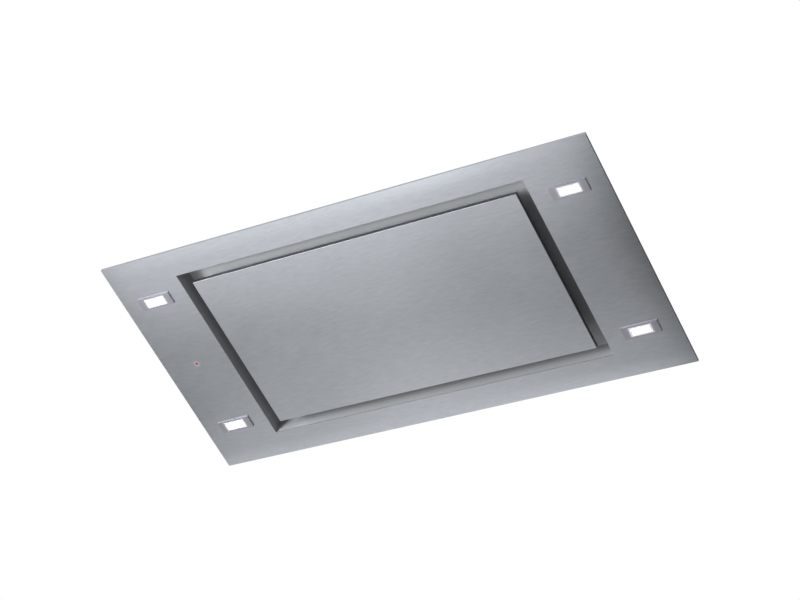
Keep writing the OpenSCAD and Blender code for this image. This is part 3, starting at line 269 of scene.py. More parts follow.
def added(name):
    """The piece that was just added, named and with its place in its mesh."""
    piece = bpy.context.object
    piece.name = name
    set_place(piece)
    return piece


def block(name, centre, size):
    """A plain block to start from."""
    put_down()
    bpy.ops.mesh.primitive_cube_add(size=1.0, location=centre, scale=size)
    return added(name)


def round_bar(name, centre, radius, depth, sides):
    """A plain round bar to start from."""
    put_down()
    bpy.ops.mesh.primitive_cylinder_add(vertices=sides, radius=radius, depth=depth, location=centre)
    return added(name)


def apply_modifier(piece, kind, **settings):
    """Adds a modifier, sets it and applies it."""
    take(piece)
    modifier = piece.modifiers.new(kind.lower(), kind)
    for key, value in settings.items():
        setattr(modifier, key, value)
    bpy.ops.object.modifier_apply(modifier=modifier.name)


def smooth(piece, angle=SMOOTH_ANGLE):
    """Smooths the shading of curves and leaves large faces flat."""
    take(piece)
    bpy.ops.object.shade_smooth_by_angle(angle=math.radians(angle))
    apply_modifier(piece, "WEIGHTED_NORMAL", mode="FACE_AREA", weight=100, keep_sharp=True)


def split_concave(piece):
    """Splits the concave faces of a piece."""
    choose(piece, lambda face: len(face.vertices) > 4)
    bpy.ops.mesh.vert_connect_concave()


def round_edges(piece, width, segments):
    """Rounds the sharp edges of a piece and smooths its shading."""
    apply_modifier(
        piece, "BEVEL", width=width, segments=segments, limit_method="ANGLE",
        angle_limit=math.radians(SHARP_ANGLE), use_clamp_overlap=True, harden_normals=False,
        miter_outer="MITER_ARC")
    split_concave(piece)
    put_down()
    smooth(piece)


def merged_copy(node, name, convex):
    """A copy of a node's mesh as a new piece, its triangles merged into whole or convex faces."""
    piece = bpy.data.objects.new(name, frame["nodes"][node].data.copy())
    bpy.context.collection.objects.link(piece)
    piece.data.materials.clear()
    choose(piece, kind="VERT")
    bpy.ops.mesh.remove_doubles(threshold=MERGE_GAP)
    bpy.ops.mesh.dissolve_limited(angle_limit=math.radians(FLAT_ANGLE))
    if convex:
        split_concave(piece)
    put_down()
    return piece


def finish_piece(piece, *nodes):
    """Gives a finished piece its material, slot and body, and lets it stand for its nodes."""
    slot = SLOT_OF[nodes[0]]
    piece.data.materials.clear()
    piece.data.materials.append(MATERIALS[slot])
    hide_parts(*nodes)
    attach(piece, BODY_OF[nodes[0]])


def covered(piece):
    """The area that a piece's triangles cover."""
    piece.data.calc_loop_triangles()
    return sum(triangle.area for triangle in piece.data.loop_triangles)


def dress(node, width, segments=2):
    """Adds a rounded copy of a node, which stands for it. A torn one is made again from convex faces."""
    for convex in (False, True):
        piece = merged_copy(node, node + "_dressed", convex)
        round_edges(piece, width, segments)
        if convex or covered(piece) < TORN_SHARE * covered(frame["nodes"][node]):
            finish_piece(piece, node)
            return
        bpy.data.meshes.remove(piece.data)


def loose_parts(node):
    """The corners of each loose part of a node, with doubles merged."""
    mesh = frame["nodes"][node].data
    keys, first = [], {}
    for vertex in mesh.vertices:
        key = tuple(round(c * STEPS_PER_METRE) for c in vertex.co)
        keys.append(first.setdefault(key, vertex.index))
    parent = list(range(len(keys)))

    def root(i):
        while parent[i] != i:
            parent[i] = parent[parent[i]]
            i = parent[i]
        return i

    for edge in mesh.edges:
        a, b = (root(keys[v]) for v in edge.vertices)
        parent[a] = b
    parts = {}
    for index in set(keys):
        parts.setdefault(root(index), []).append(mesh.vertices[index].co.copy())
    return [parts[key] for key in sorted(parts)]


def screw_places(node):
    """The top of the head, the way that it points, the whole length and the head's radius of each screw."""
    places = []
    for corners in loose_parts(node):
        low = Vector([min(c[i] for c in corners) for i in range(3)])
        high = Vector([max(c[i] for c in corners) for i in range(3)])
        size = high - low
        along = max(range(3), key=lambda i: size[i])
        middle = (low + high) / 2
        others = [i for i in range(3) if i != along]
        reach = HEAD_SHARE * size[others[0]]
        wide = [c for c in corners if max(abs(c[i] - middle[i]) for i in others) > reach]
        mean = sum(c[along] for c in wide) / len(wide)
        way = Vector((0, 0, 0))
        way[along] = 1.0 if mean > middle[along] else -1.0
        top = middle.copy()
        top[along] = high[along] if way[along] > 0 else low[along]
        places.append((top, way, size[along], size[others[0]] / 2))
    return places


def set_at(template, name, top, way):
    """A copy of a template that is modelled head up at the origin, set at a place."""
    copy = template.copy()
    copy.data = template.data.copy()
    copy.name = name
    bpy.context.collection.objects.link(copy)
    turn = Vector((0, 0, 1)).rotation_difference(way).to_matrix().to_4x4()
    copy.data.transform(Matrix.Translation(top) @ turn)
    return copy


def join(pieces, name):
    """Joins pieces into one."""
    put_down()
    for piece in pieces:
        piece.select_set(True)
    bpy.context.view_layer.objects.active = pieces[0]
    bpy.ops.object.join()
    pieces[0].name = name
    return pieces[0]


def delete(piece):
    """Takes a template away again."""
    bpy.data.objects.remove(piece)


# Shader helpers

class Value:
    """A value in a shader. Python's operators on it add Math nodes."""

    def __init__(self, graph, socket):
        self.graph = graph
        self.socket = socket

    def __add__(self, other):
        return self.graph.math("ADD", self, other)

    def __radd__(self, other):
        return self.graph.math("ADD", other, self)

    def __sub__(self, other):
        return self.graph.math("SUBTRACT", self, other)

    def __rsub__(self, other):
        return self.graph.math("SUBTRACT", other, self)

    def __mul__(self, other):
        return self.graph.math("MULTIPLY", self, other)

    def __rmul__(self, other):
        return self.graph.math("MULTIPLY", other, self)

    def __truediv__(self, other):
        return self.graph.math("DIVIDE", self, other)

    def __pow__(self, other):
        return self.graph.math("POWER", self, other)

    def __abs__(self):
        return self.graph.math("ABSOLUTE", self)

    def ramp(self, low, high, shape="SMOOTHSTEP"):
        """Rises smoothly from 0 at low to 1 at high."""
        return self.graph.add(
            "ShaderNodeMapRange", {"Value": self, "From Min": low, "From Max": high},
            interpolation_type=shape)["Result"]

    def rise(self, low, high):
        """Rises in a straight line from 0 at low to 1 at high."""
        return self.ramp(low, high, "LINEAR")


class Added:
    """A node that was added, whose outputs are read by name."""

    def __init__(self, graph, node):
        self.graph = graph
        self.node = node

    def __getitem__(self, key):
        return Value(self.graph, self.node.outputs[key])


class Graph:
    """The node tree of a material or of the world."""

    def __init__(self, tree):
        self.tree = tree

    def add(self, kind, sockets=None, **settings):
        """Adds a node: its settings first, then the values or links of its sockets."""
        node = self.tree.nodes.new(kind)
        for key, value in settings.items():
            setattr(node, key, value)
        for key, value in (sockets or {}).items():
            self.feed(node.inputs[key], value)
        return Added(self, node)

    def feed(self, socket, value):
        """Links a value to a socket, or sets the socket."""
        if isinstance(value, Value):
            self.tree.links.new(value.socket, socket)
        elif hasattr(value, "__len__") and socket.type == "RGBA":
            socket.default_value = (*value[:3], 1.0)
        else:
            socket.default_value = value

    def math(self, operation, *values):
        """One Math node."""
        return self.add("ShaderNodeMath", dict(enumerate(values)), operation=operation)["Value"]

    def place(self, scale=(1.0, 1.0, 1.0), offset=(0.0, 0.0, 0.0)):
        """Object coordinates, stretched and moved."""
        if not hasattr(self, "object_place"):
            self.object_place = self.add("ShaderNodeTexCoord")["Object"]
        sockets = {"Vector": self.object_place, "Scale": scale, "Location": offset}
        return self.add("ShaderNodeMapping", sockets)["Vector"]

    def axis(self, name):
        """One object coordinate in metres."""
        return self.add("ShaderNodeSeparateXYZ", {"Vector": self.place()})[name]

    def size_of(self, name):
        """The distance from the middle along one axis."""
        return abs(self.axis(name))

    def noise(self, scale, detail=2.0, rough=0.5, offset=(0.0, 0.0, 0.0)):
        """Noise of about 0 to 1 whose scale may differ along the axes."""
        scale = scale if hasattr(scale, "__len__") else (scale, scale, scale)
        sockets = {"Vector": self.place(scale, offset), "Scale": 1.0, "Detail": detail, "Roughness": rough}
        return self.add("ShaderNodeTexNoise", sockets)["Fac"]

    def cells(self, scale, output="Distance"):
        """Cells around scattered points."""
        return self.add("ShaderNodeTexVoronoi", {"Vector": self.place(), "Scale": scale})[output]

    def distance(self, centre):
        """How far a point lies from an upright line through a centre."""
        x, y = self.axis("X") - centre[0], self.axis("Y") - centre[1]
        return (x * x + y * y) ** 0.5

    def blend(self, share, low, high):
        """Mixes two colours."""
        return self.add(
            "ShaderNodeMix", {"Factor": share, MIX_LOW: low, MIX_HIGH: high}, data_type="RGBA")[MIX_RESULT]

    def red(self, colour):
        """The red share of a colour."""
        return self.add("ShaderNodeSeparateColor", {"Color": colour})["Red"]

    def shade(self, colour, level):
        """A colour multiplied by a level."""
        grey = self.add("ShaderNodeCombineXYZ", {"X": level, "Y": level, "Z": level})["Vector"]
        return self.add(
            "ShaderNodeMix", {"Factor": 1.0, MIX_LOW: colour, MIX_HIGH: grey},
            data_type="RGBA", blend_type="MULTIPLY")[MIX_RESULT]


class Finish(Graph):
    """A material under construction around one Principled shader."""

    def __init__(self, name):
        self.material = bpy.data.materials.new(name)
        self.material.use_nodes = True
        super().__init__(self.material.node_tree)
        self.tree.nodes.clear()
        self.surface = self.add("ShaderNodeBsdfPrincipled")
        output = self.add("ShaderNodeOutputMaterial")
        self.tree.links.new(self.surface.node.outputs[0], output.node.inputs["Surface"])

    def set(self, **sockets):
        """Feeds the shader's sockets. An underscore stands for a blank."""
        for key, value in sockets.items():
            self.feed(self.surface.node.inputs[key.replace("_", " ")], value)

    def relief(self, height, strength, distance=0.1 * MM, under=None):
        """Bumps the surface, on top of a bump that may lie under it, and returns the material."""
        sockets = {"Height": height, "Strength": strength, "Distance": distance}
        if under:
            sockets["Normal"] = under
        self.set(Normal=self.add("ShaderNodeBump", sockets)["Normal"])
        return self.material


# Finishes

def from_lamp(f):
    """How far a point lies from the middle of its lamp, along X and along Y."""
    x, y = LAMP_PLACE
    return abs(f.size_of("X") - x), abs(f.size_of("Y") - y)


def within(x, y, fades):
    """1 near the middle and 0 past where it fades, along X and along Y."""
    return (1.0 - x.ramp(*fades[0])) * (1.0 - y.ramp(*fades[1]))


def face_crown(f):
    """A bump that draws the face in a little towards its folds."""
    past_x = f.size_of("X").rise(FACE_HIGH.x - CROWN_X, FACE_HIGH.x)
    past_y = f.size_of("Y").rise(FACE_HIGH.y - CROWN_Y, FACE_HIGH.y)
    height = past_x ** 3 * -CROWN_DEPTH_X - past_y ** 2 * CROWN_DEPTH_Y
    return f.add("ShaderNodeBump", {"Height": height, "Strength": 1.0, "Distance": 1.0})["Normal"]


def face_painted_glow(f, glow):
    """Paints a glow on the face around its lights, and returns its level, with painted shade around the
    status light.
    """
    x, y = from_lamp(f)
    away = f.distance(STATUS_PLACE)
    rim = away.ramp(*STATUS_PAINTED_SHADE)
    status = rim * (1.0 - away.ramp(*STATUS_PAINTED_GLOW))
    # The painted glow is pink near the status light and takes the glow's colour further out
    tint = f.blend(away.ramp(*STATUS_TINT), (1.0, 0.50, 0.58), glow)
    level = within(x, y, FACE_PAINTED_GLOW) * 0.024 + status * 0.26
    f.set(Emission_Color=f.shade(tint, level), Emission_Strength=1.0)
    # Painted shade on the face just around the status light
    return rim * 0.7 + 0.3


def painted_face_shade(f):
    """The level of the face, with painted shade in the middle of its right end, and of the panel, with
    painted shade on its right fold and a painted highlight on its near one."""
    right = f.axis("X").rise(FACE_HIGH.x - END_LENGTH, FACE_HIGH.x)
    corner = f.size_of("Y").rise(END_CORNER, FACE_HIGH.y)
    past_x, past_y = (
        f.size_of(name).rise(*(side + margin for margin in PANEL_MARGIN))
        for name, side in (("X", PANEL_HIGH.x), ("Y", PANEL_HIGH.y)))
    on_panel = (1.0 - past_x) * (1.0 - past_y)
    right_fold = f.axis("X").rise(PANEL_HIGH.x - FOLD_IN, PANEL_HIGH.x - FOLD_OUT) * on_panel
    near_fold = (f.axis("Y") * -1.0).rise(PANEL_HIGH.y - FOLD_IN, PANEL_HIGH.y - FOLD_OUT) * on_panel
    # Painted shade on the face's right end, less towards its corners
    end = 1.0 - right ** 2 * (END_PAINTED_SHADE - corner * CORNER_SHADE_EASING)
    # Painted shade on the panel's right fold and a painted highlight on its near fold
    return end * (1.0 - right_fold * FOLD_PAINTED_SHADE) * (near_fold * FOLD_PAINTED_HIGHLIGHT + 1.0)


def recess_painted_shade(f, wall_painted_shade):
    """The level of the recess, whose walls get painted shade as they go up."""
    up, top = f.axis("Z"), TRAY_HIGH.z - TRAY_COLLAR
    wall = up.ramp(*(TRAY_LOW.z + height for height in PAINTED_SHADE_FOOT))
    return 1.0 - wall * (1.0 - up.ramp(*(top - height for height in PAINTED_SHADE_TOP))) * wall_painted_shade


def brushed_steel(name, colour, roughness, along, contrast, metallic, glow=None, wall_painted_shade=0.0):
    """Steel with fine streaks along its grain and faint wide marks. With a glow it is the face's and the
    panel's, with painted glow, painted shade and a painted highlight, and with painted shade on its
    walls the recess's."""
    f = Finish(name)
    fine = f.noise(tuple(5.0 * c for c in along), 3.0, 0.6)
    streaks = f.noise(along, 3.0, 0.65, (3.1, 1.7, 0.4))
    marks = f.noise((5.0, 9.0, 9.0), 3.0, 0.55)
    grain = fine * 0.25 + streaks * 0.75
    level = grain * contrast + marks * 0.05 + (1.0 - contrast * 0.5 - 0.025)
    f.set(Metallic=metallic, Roughness=grain * 0.10 + marks * 0.06 + (roughness - 0.08))
    if glow:
        # Painted glow, painted shade and a painted highlight on the face and the panel
        level = level * face_painted_glow(f, glow) * painted_face_shade(f)
    if wall_painted_shade:
        # Painted shade on the recess walls, darker further up them
        level = level * recess_painted_shade(f, wall_painted_shade)
    f.set(Base_Color=f.shade(colour, level))
    return f.relief(grain, 0.05, 0.05 * MM, face_crown(f) if glow else None)


def zinc_sheet(name, colour):
    """Zinc-coated sheet with a fine spangle and faint rolling marks."""
    f = Finish(name)
    flake = f.red(f.cells(95.0, "Color"))
    small = f.noise(700.0, 2.0)
    clouds = f.noise(6.0, 3.0, 0.6)
    level = flake * 0.10 + small * 0.06 + clouds * 0.12 + 0.86
    f.set(Base_Color=f.shade(colour, level), Metallic=1.0, Roughness=flake * 0.10 + clouds * 0.16 + 0.30)
    return f.relief(small, 0.05)


def plated_steel(name, colour, roughness):
    """Bright zinc plating, slightly clouded, with a faint warm and cool tint."""
    f = Finish(name)
    clouds = f.noise(45.0, 3.0, 0.6)
    fine = f.noise(1500.0, 2.0)
    warm = tuple(c * k for c, k in zip(colour, (1.04, 1.0, 0.93)))
    cool = tuple(c * k for c, k in zip(colour, (0.93, 0.98, 1.03)))
    f.set(Base_Color=f.blend(clouds.ramp(0.35, 0.65), warm, cool), Metallic=1.0,
          Roughness=clouds * 0.16 + fine * 0.08 + (roughness - 0.10))
    return f.relief(fine, 0.08, 0.03 * MM)


def moulded_plastic(name, colour, roughness, texture):
    """Moulded plastic with a fine eroded texture."""
    f = Finish(name)
    texture_height = f.noise(texture, 3.0, 0.6)
    clouds = f.noise(14.0, 2.0)
    f.set(Base_Color=f.shade(colour, clouds * 0.22 + texture_height * 0.12 + 0.83),
          Roughness=texture_height * 0.14 + clouds * 0.08 + (roughness - 0.10))
    return f.relief(texture_height, 0.22, 0.04 * MM)


def cast_metal(name, colour, roughness, metallic=1.0):
    """Cast or blasted metal with a fine pebbled skin."""
    f = Finish(name)
    pebbles = f.cells(1300.0)
    clouds = f.noise(30.0, 3.0, 0.6)
    f.set(Base_Color=f.shade(colour, clouds * 0.16 + pebbles * 0.14 + 0.82), Metallic=metallic,
          Roughness=clouds * 0.12 + pebbles * 0.12 + (roughness - 0.10))
    return f.relief(pebbles, 0.25, 0.05 * MM)


def foam(name):
    """Closed-cell foam."""
    f = Finish(name)
    pores = f.cells(1100.0)
    wide = f.noise(60.0, 2.0)
    f.set(Base_Color=f.blend(pores.ramp(0.1, 0.6), (0.02, 0.02, 0.021), (0.075, 0.075, 0.078)),
          Roughness=wide * 0.08 + 0.88)
    return f.relief(pores, 0.7, 0.25 * MM)


def rubber(name):
    """Matte black rubber with a dusty bloom."""
    f = Finish(name)
    bloom = f.noise(90.0, 4.0, 0.65)
    f.set(Base_Color=f.blend(bloom.ramp(0.4, 0.75), (0.020, 0.020, 0.021), (0.060, 0.060, 0.060)),
          Roughness=bloom * 0.14 + 0.70)
    return f.relief(bloom, 0.25, 0.08 * MM)


def polished_steel(name):
    """Ground steel with faint turning marks."""
    f = Finish(name)
    marks = f.noise((120.0, 120.0, 2600.0), 2.0)
    f.set(Base_Color=f.shade((0.66, 0.67, 0.68), marks * 0.10 + 0.93), Metallic=1.0,
          Roughness=marks * 0.12 + 0.10)
    return f.relief(marks, 0.05, 0.02 * MM)


def laminations(name):
    """Stacked steel sheets, seen as lines around the core."""
    f = Finish(name)
    sheet = f.math("FRACT", f.axis("Z") / LAMINATION)
    line = sheet.ramp(0.0, 0.22) * (1.0 - sheet.ramp(0.82, 1.0))
    rust = f.noise(140.0, 3.0)
    f.set(Base_Color=f.blend(line, (0.06, 0.06, 0.062), (0.30, 0.30, 0.31)), Metallic=0.8,
          Roughness=rust * 0.2 + 0.38)
    return f.relief(line, 0.5, 0.12 * MM)


def copper_winding(name, centre):
    """Enamelled wire wound turn by turn around each tooth of the core."""
    f = Finish(name)
    wire = f.math("FRACT", f.distance(centre) / WIRE_PITCH)
    round_wire = wire * (1.0 - wire) * 4.0
    clouds = f.noise(160.0, 2.0)
    f.set(Base_Color=f.blend(round_wire, (0.16, 0.045, 0.015), (0.66, 0.27, 0.10)), Metallic=0.9,
          Roughness=clouds * 0.15 + 0.22)
    return f.relief(round_wire, 0.9, 0.3 * MM)


def solder_mask(name, mask, trace):
    """A circuit board with a glossy mask over its traces."""
    f = Finish(name)
    bricks = {"Vector": f.place(), "Scale": 1.0 / BOARD_PITCH, "Mortar Size": 0.07, "Brick Width": 1.7,
              "Row Height": 0.45, "Color1": WHITE, "Color2": (0.2, 0.2, 0.2), "Mortar": (0.0, 0.0, 0.0)}
    runs = f.red(f.add("ShaderNodeTexBrick", bricks)["Color"])
    spots = 1.0 - f.cells(210.0).ramp(0.10, 0.16)
    f.set(Base_Color=f.blend(runs * 0.45 + spots * 0.4, mask, trace), Metallic=spots * 0.5,
          Roughness=runs * 0.10 + 0.26, Coat_Weight=0.3)
    return f.relief(runs, 0.3, 0.05 * MM)


def lit_window(name, light):
    """A frosted window, lit from behind by a row of diodes and dimmer towards its frame."""
    f = Finish(name)
    frost = f.noise(900.0, 2.0)
    x, y = from_lamp(f)
    ragged = f.noise(480.0, 2.0, 0.6) * WINDOW_RAGGED - WINDOW_RAGGED / 2
    lit = within(x + ragged, y + ragged * 0.3, WINDOW_LIT)
    f.set(Base_Color=f.shade((0.40, 0.39, 0.41), frost * 0.06 + 0.95), Roughness=frost * 0.2 + 0.35,
          Emission_Color=f.shade(light, lit * 0.95 + frost * 0.04 + 0.02), Emission_Strength=1.3)
    return f.relief(frost, 0.15, 0.04 * MM)


def bezel_steel(name, colour, roughness, light):
    """Satin steel of a lamp bezel, with a faint painted glow from the window's edge."""
    f = Finish(name)
    streaks = f.noise((60.0, 1900.0, 1900.0), 2.0)
    clouds = f.noise(70.0, 2.0)
    x, y = from_lamp(f)
    # Where the bezel gets a painted glow of the window's light
    near = within(x, y, BEZEL_PAINTED_GLOW)
    f.set(Base_Color=f.shade(colour, streaks * 0.10 + clouds * 0.05 + 0.93), Metallic=1.0,
          Roughness=streaks * 0.10 + clouds * 0.06 + (roughness - 0.08),
          Emission_Color=f.shade(light, near * 0.10), Emission_Strength=1.0)
    return f.relief(streaks, 0.05, 0.03 * MM)


def status_lens(name, light):
    """A dark red lens with a small diode behind it, which glows towards the rim."""
    f = Finish(name)
    rim = f.distance(STATUS_PLACE).ramp(*LENS_RIM)
    grain = f.noise(900.0, 2.0)
    glow = f.shade(light, rim * 0.25 + grain * 0.03 + 0.02)
    f.set(Base_Color=f.blend(rim, (0.10, 0.01, 0.02), (0.45, 0.06, 0.08)), Roughness=grain * 0.05 + 0.12,
          Coat_Weight=0.5, Emission_Color=glow, Emission_Strength=0.8)
    return f.relief(grain, 0.05, 0.02 * MM)


MATERIALS = {}


def make_materials(finish):
    """Makes the material of every slot in the record, from its recipe, colour and values."""
    steel, satin, zinc = tuple(finish.steel), tuple(finish.satin), tuple(finish.zinc)
    plated, aluminium = tuple(finish.plated), tuple(finish.aluminium)
    black, grey = tuple(finish.black), tuple(finish.grey)
    satin_grain = (60.0, 700.0, 700.0)
    recipes = {
        # The last colour is that of the glow painted on the face around its lights
        "brushed_face": (brushed_steel, steel, finish.steel_roughness, (42.0, 250.0, 250.0), 0.42, 1.0,
                         (0.90, 0.62, 1.0)),
        # The last value is the strength of the painted shade on the recess walls
        "satin_steel": (brushed_steel, satin, 0.40, satin_grain, 0.10, 0.25, None, 0.28),
        "filter_steel": (brushed_steel, (0.58, 0.59, 0.60), 0.30, satin_grain, 0.16, 1.0),
        "filter_mesh": (cast_metal, aluminium, 0.36),
        "zinc_sheet": (zinc_sheet, zinc),
        "zinc_hardware": (plated_steel, plated, 0.26),
        "magnet": (cast_metal, (0.10, 0.10, 0.105), 0.55, 0.6),
        "foam": (foam,),
        "rubber": (rubber,),
        # The last colour is that of the glow painted on the bezels
        "bezel_metal": (bezel_steel, (0.43, 0.425, 0.475), 0.32, (0.86, 0.78, 1.0)),
        "lamp_window": (lit_window, tuple(finish.window_light)),
        "circuit_board": (solder_mask, (0.012, 0.11, 0.045), (0.10, 0.33, 0.15)),
        "lamp_aluminium": (cast_metal, (0.58, 0.59, 0.60), 0.42),
        "spring_steel": (plated_steel, (0.52, 0.53, 0.56), 0.22),
        "status_red": (status_lens, tuple(finish.status_light)),
        "black_plastic": (moulded_plastic, black, 0.50, 2400.0),
        "grey_plastic": (moulded_plastic, grey, 0.46, 2400.0),
        "wheel_plastic": (moulded_plastic, (0.060, 0.063, 0.067), 0.42, 1600.0),
        "motor_cast": (cast_metal, (0.45, 0.46, 0.47), 0.46),
        "motor_dark": (moulded_plastic, (0.035, 0.035, 0.038), 0.40, 1900.0),
        "laminations": (laminations,),
        "copper": (copper_winding, middle_of("motor_shaft")),
        "polished_steel": (polished_steel,),
    }
    for name, (recipe, *values) in recipes.items():
        MATERIALS[name] = recipe(name, *values)


# Operators: the stage

def studio_world(level):
    """Air that is white where it is seen, mirrored or looked through, and dimmer in its light."""
    world = bpy.data.worlds.new("studio_air")
    world.use_nodes = True
    bpy.context.scene.world = world
    g = Graph(world.node_tree)
    g.tree.nodes.clear()
    rays = g.add("ShaderNodeLightPath")
    seen = (rays["Is Camera Ray"] + rays["Is Glossy Ray"] + rays["Is Transmission Ray"]).ramp(0.0, 0.5)
    low, white = (
        g.add("ShaderNodeBackground", {"Color": WHITE, "Strength": strength})["Background"]
        for strength in (level, 1.0))
    mixed = g.add("ShaderNodeMixShader", {0: seen, 1: low, 2: white})["Shader"]
    g.add("ShaderNodeOutputWorld", {"Surface": mixed})


def floor_finish(colour):
    """Plain pale floor with the faintest grain, lighter to the eye than in what mirrors it."""
    f = Finish("studio_floor")
    grain = f.noise(3.0, 3.0)
    seen = f.add("ShaderNodeLightPath")["Is Camera Ray"]
    f.set(Base_Color=f.shade(tuple(colour), grain * 0.02 + 0.99), Roughness=0.9, Specular_IOR_Level=0.0,
          Emission_Color=f.shade(WHITE, seen * FLOOR_SEEN), Emission_Strength=1.0)
    return f.material


def ceiling_finish(level):
    """White from below, clear from above, and bright in what mirrors it on the near side of the face. It
    keeps light from below off the housing."""
    material = bpy.data.materials.new("studio_ceiling")
    material.use_nodes = True
    g = Graph(material.node_tree)
    g.tree.nodes.clear()
    rays = g.add("ShaderNodeLightPath")
    back = g.add("ShaderNodeNewGeometry")["Backfacing"]
    white = g.add("ShaderNodeEmission", {"Color": WHITE, "Strength": 1.0})["Emission"]
    near = 1.0 - g.axis("Y").ramp(FACE_LOW.y - CEILING_FADE, FACE_LOW.y + CEILING_FADE)
    bright = (near + level) * (1.0 - back) + back * CEILING_BACK
    shaded = g.add("ShaderNodeEmission", {"Color": WHITE, "Strength": bright})["Emission"]
    clear = g.add("ShaderNodeBsdfTransparent")["BSDF"]
    board = g.add("ShaderNodeMixShader", {0: rays["Is Camera Ray"], 1: shaded, 2: white})["Shader"]
    through = rays["Is Camera Ray"] * back + rays["Is Shadow Ray"] * (1.0 - back)
    mixed = g.add("ShaderNodeMixShader", {0: through, 1: board, 2: clear})["Shader"]
    g.add("ShaderNodeOutputMaterial", {"Surface": mixed})
    return material


def area_lamp(name, place, aim, size, power):
    """A soft rectangular lamp that the camera doesn't see."""
    data = bpy.data.lights.new(name, "AREA")
    data.shape = "RECTANGLE"
    data.size, data.size_y = size
    data.energy = power
    lamp = bpy.data.objects.new(name, data)
    bpy.context.collection.objects.link(lamp)
    lamp.location = place
    lamp.rotation_euler = (Vector(aim) - Vector(place)).to_track_quat("-Z", "Y").to_euler()
    lamp.visible_camera = False
    return lamp


# Each lamp's name, place, aim, sides in metres and power in watts
LAMPS = [
    ("lamp_above", (0.6, -0.8, 3.0), (0.0, 0.0, 0.2), (3.0, 3.0), 58.0),
    ("lamp_far", (-1.01, 1.58, -1.25), (-0.30, 0.47, 0.0), (1.48, 0.69), 2.43),
    ("lamp_middle", (-0.39, 0.97, -1.03), (-0.12, 0.29, 0.0), (0.85, 0.23), 0.454),
    ("lamp_near", (-0.60, -0.24, -1.04), (-0.18, -0.07, 0.0), (1.54, 0.92), 4.97),
    ("lamp_front", (-2.25, -1.60, -2.40), (0.0, 0.0, 0.0), (1.4, 1.4), 268.0),
    ("lamp_edges", (-1.80, -2.20, -2.10), (0.0, 0.0, 0.0), (1.3, 1.8), 46.0),
    ("lamp_right", (-0.03, -0.04, -0.72), (-0.01, -0.01, 0.0), (0.41, 0.64), 0.60),
]


def photo_camera(stage):
    """The camera, turned as it was when the photograph was taken."""
    az, el, roll = stage.camera_azimuth, stage.camera_elevation, stage.camera_roll
    back = Vector((math.sin(az) * math.cos(el), -math.cos(az) * math.cos(el), math.sin(el)))
    right = Vector((0, 0, 1)).cross(back).normalized()
    up = back.cross(right)
    across = math.cos(roll) * right + math.sin(roll) * up
    upright = math.cos(roll) * up - math.sin(roll) * right
    data = bpy.data.cameras.new("photo_camera")
    data.sensor_width = 36.0
    data.lens = stage.focal_length
    data.clip_end = 100.0
    camera = bpy.data.objects.new("photo_camera", data)
    bpy.context.collection.objects.link(camera)
    turn = Matrix((across, upright, back)).transposed().to_4x4()
    camera.matrix_world = Matrix.Translation(stage.camera_place) @ turn
    return camera


def studio_plane(name, size, height):
    """A square plane of the stage."""
    put_down()
    bpy.ops.mesh.primitive_plane_add(size=size, location=(0, 0, height))
    return added(name)


def cut_around_housing(ceiling):
    """Cuts the hole for the housing into the ceiling board, and turns the board's faces down."""
    for axis in (0, 1):
        for place in (HOUSING_LOW[axis] - CEILING_GAP, HOUSING_HIGH[axis] + CEILING_GAP):
            normal = Vector((0, 0, 0))
            normal[axis] = 1.0
            choose(ceiling)
            bpy.ops.mesh.bisect(plane_co=normal * place, plane_no=normal)
    choose(ceiling, lambda face: all(abs(face.center[axis]) < HOUSING_HIGH[axis] / 2 for axis in (0, 1)))
    bpy.ops.mesh.delete(type="FACE")
    bpy.ops.mesh.select_all(action="SELECT")
    bpy.ops.mesh.flip_normals()
    put_down()


class HOOD_OT_stage(bpy.types.Operator):
    """Sets the camera, the floor, the ceiling board and the light"""

    bl_idname = "hood.stage"
    bl_label = "Stage"

    def execute(self, context):
        stage = context.scene.hood_stage
        context.scene.view_settings.view_transform = "Standard"
        context.scene.camera = photo_camera(stage)

        floor = studio_plane("studio_floor", stage.floor_size, -stage.floor_drop)
        floor.data.materials.append(floor_finish(stage.floor_colour))
        ceiling = studio_plane("studio_ceiling", stage.ceiling_size, CEILING_HEIGHT)
        cut_around_housing(ceiling)
        ceiling.data.materials.append(ceiling_finish(stage.ceiling_level))
        for kind in ("diffuse", "transmission", "volume_scatter"):
            setattr(ceiling, "visible_" + kind, False)

        studio_world(stage.air_level)
        for lamp in LAMPS:
            # The steel doesn't mirror the front lamp, which would be a hot spot
            area_lamp(*lamp).visible_glossy = lamp[0] != "lamp_front"
        return {"FINISHED"}


# Operators: the pieces

class HOOD_OT_finishes(bpy.types.Operator):
    """Makes the materials and gives every node its own"""

    bl_idname = "hood.finishes"
    bl_label = "Finishes"

    def execute(self, context):
        make_materials(context.scene.hood_finish)
        for name, node in frame["nodes"].items():
            material = MATERIALS[SLOT_OF[name]]
            if not node.material_slots:
                node.data.materials.append(material)
            for slot in node.material_slots:
                slot.material = material
        return {"FINISHED"}


def dress_all(nodes, width, segments=2):
    """Dresses nodes alike, and tells Blender that this is done."""
    for node in nodes:
        dress(node, width, segments)
    return {"FINISHED"}


class HOOD_OT_face_sheets(bpy.types.Operator):
    """Rounds the folds of the face plate, the suction panel and the recess"""

    bl_idname = "hood.face_sheets"
    bl_label = "Face, panel and recess"

    def execute(self, context):
        detail = context.scene.hood_detail
        dress("face_plate", detail.fold_round, 3)
        return dress_all(("panel_skin", "panel_back", "recess_tray"), detail.sheet_round)


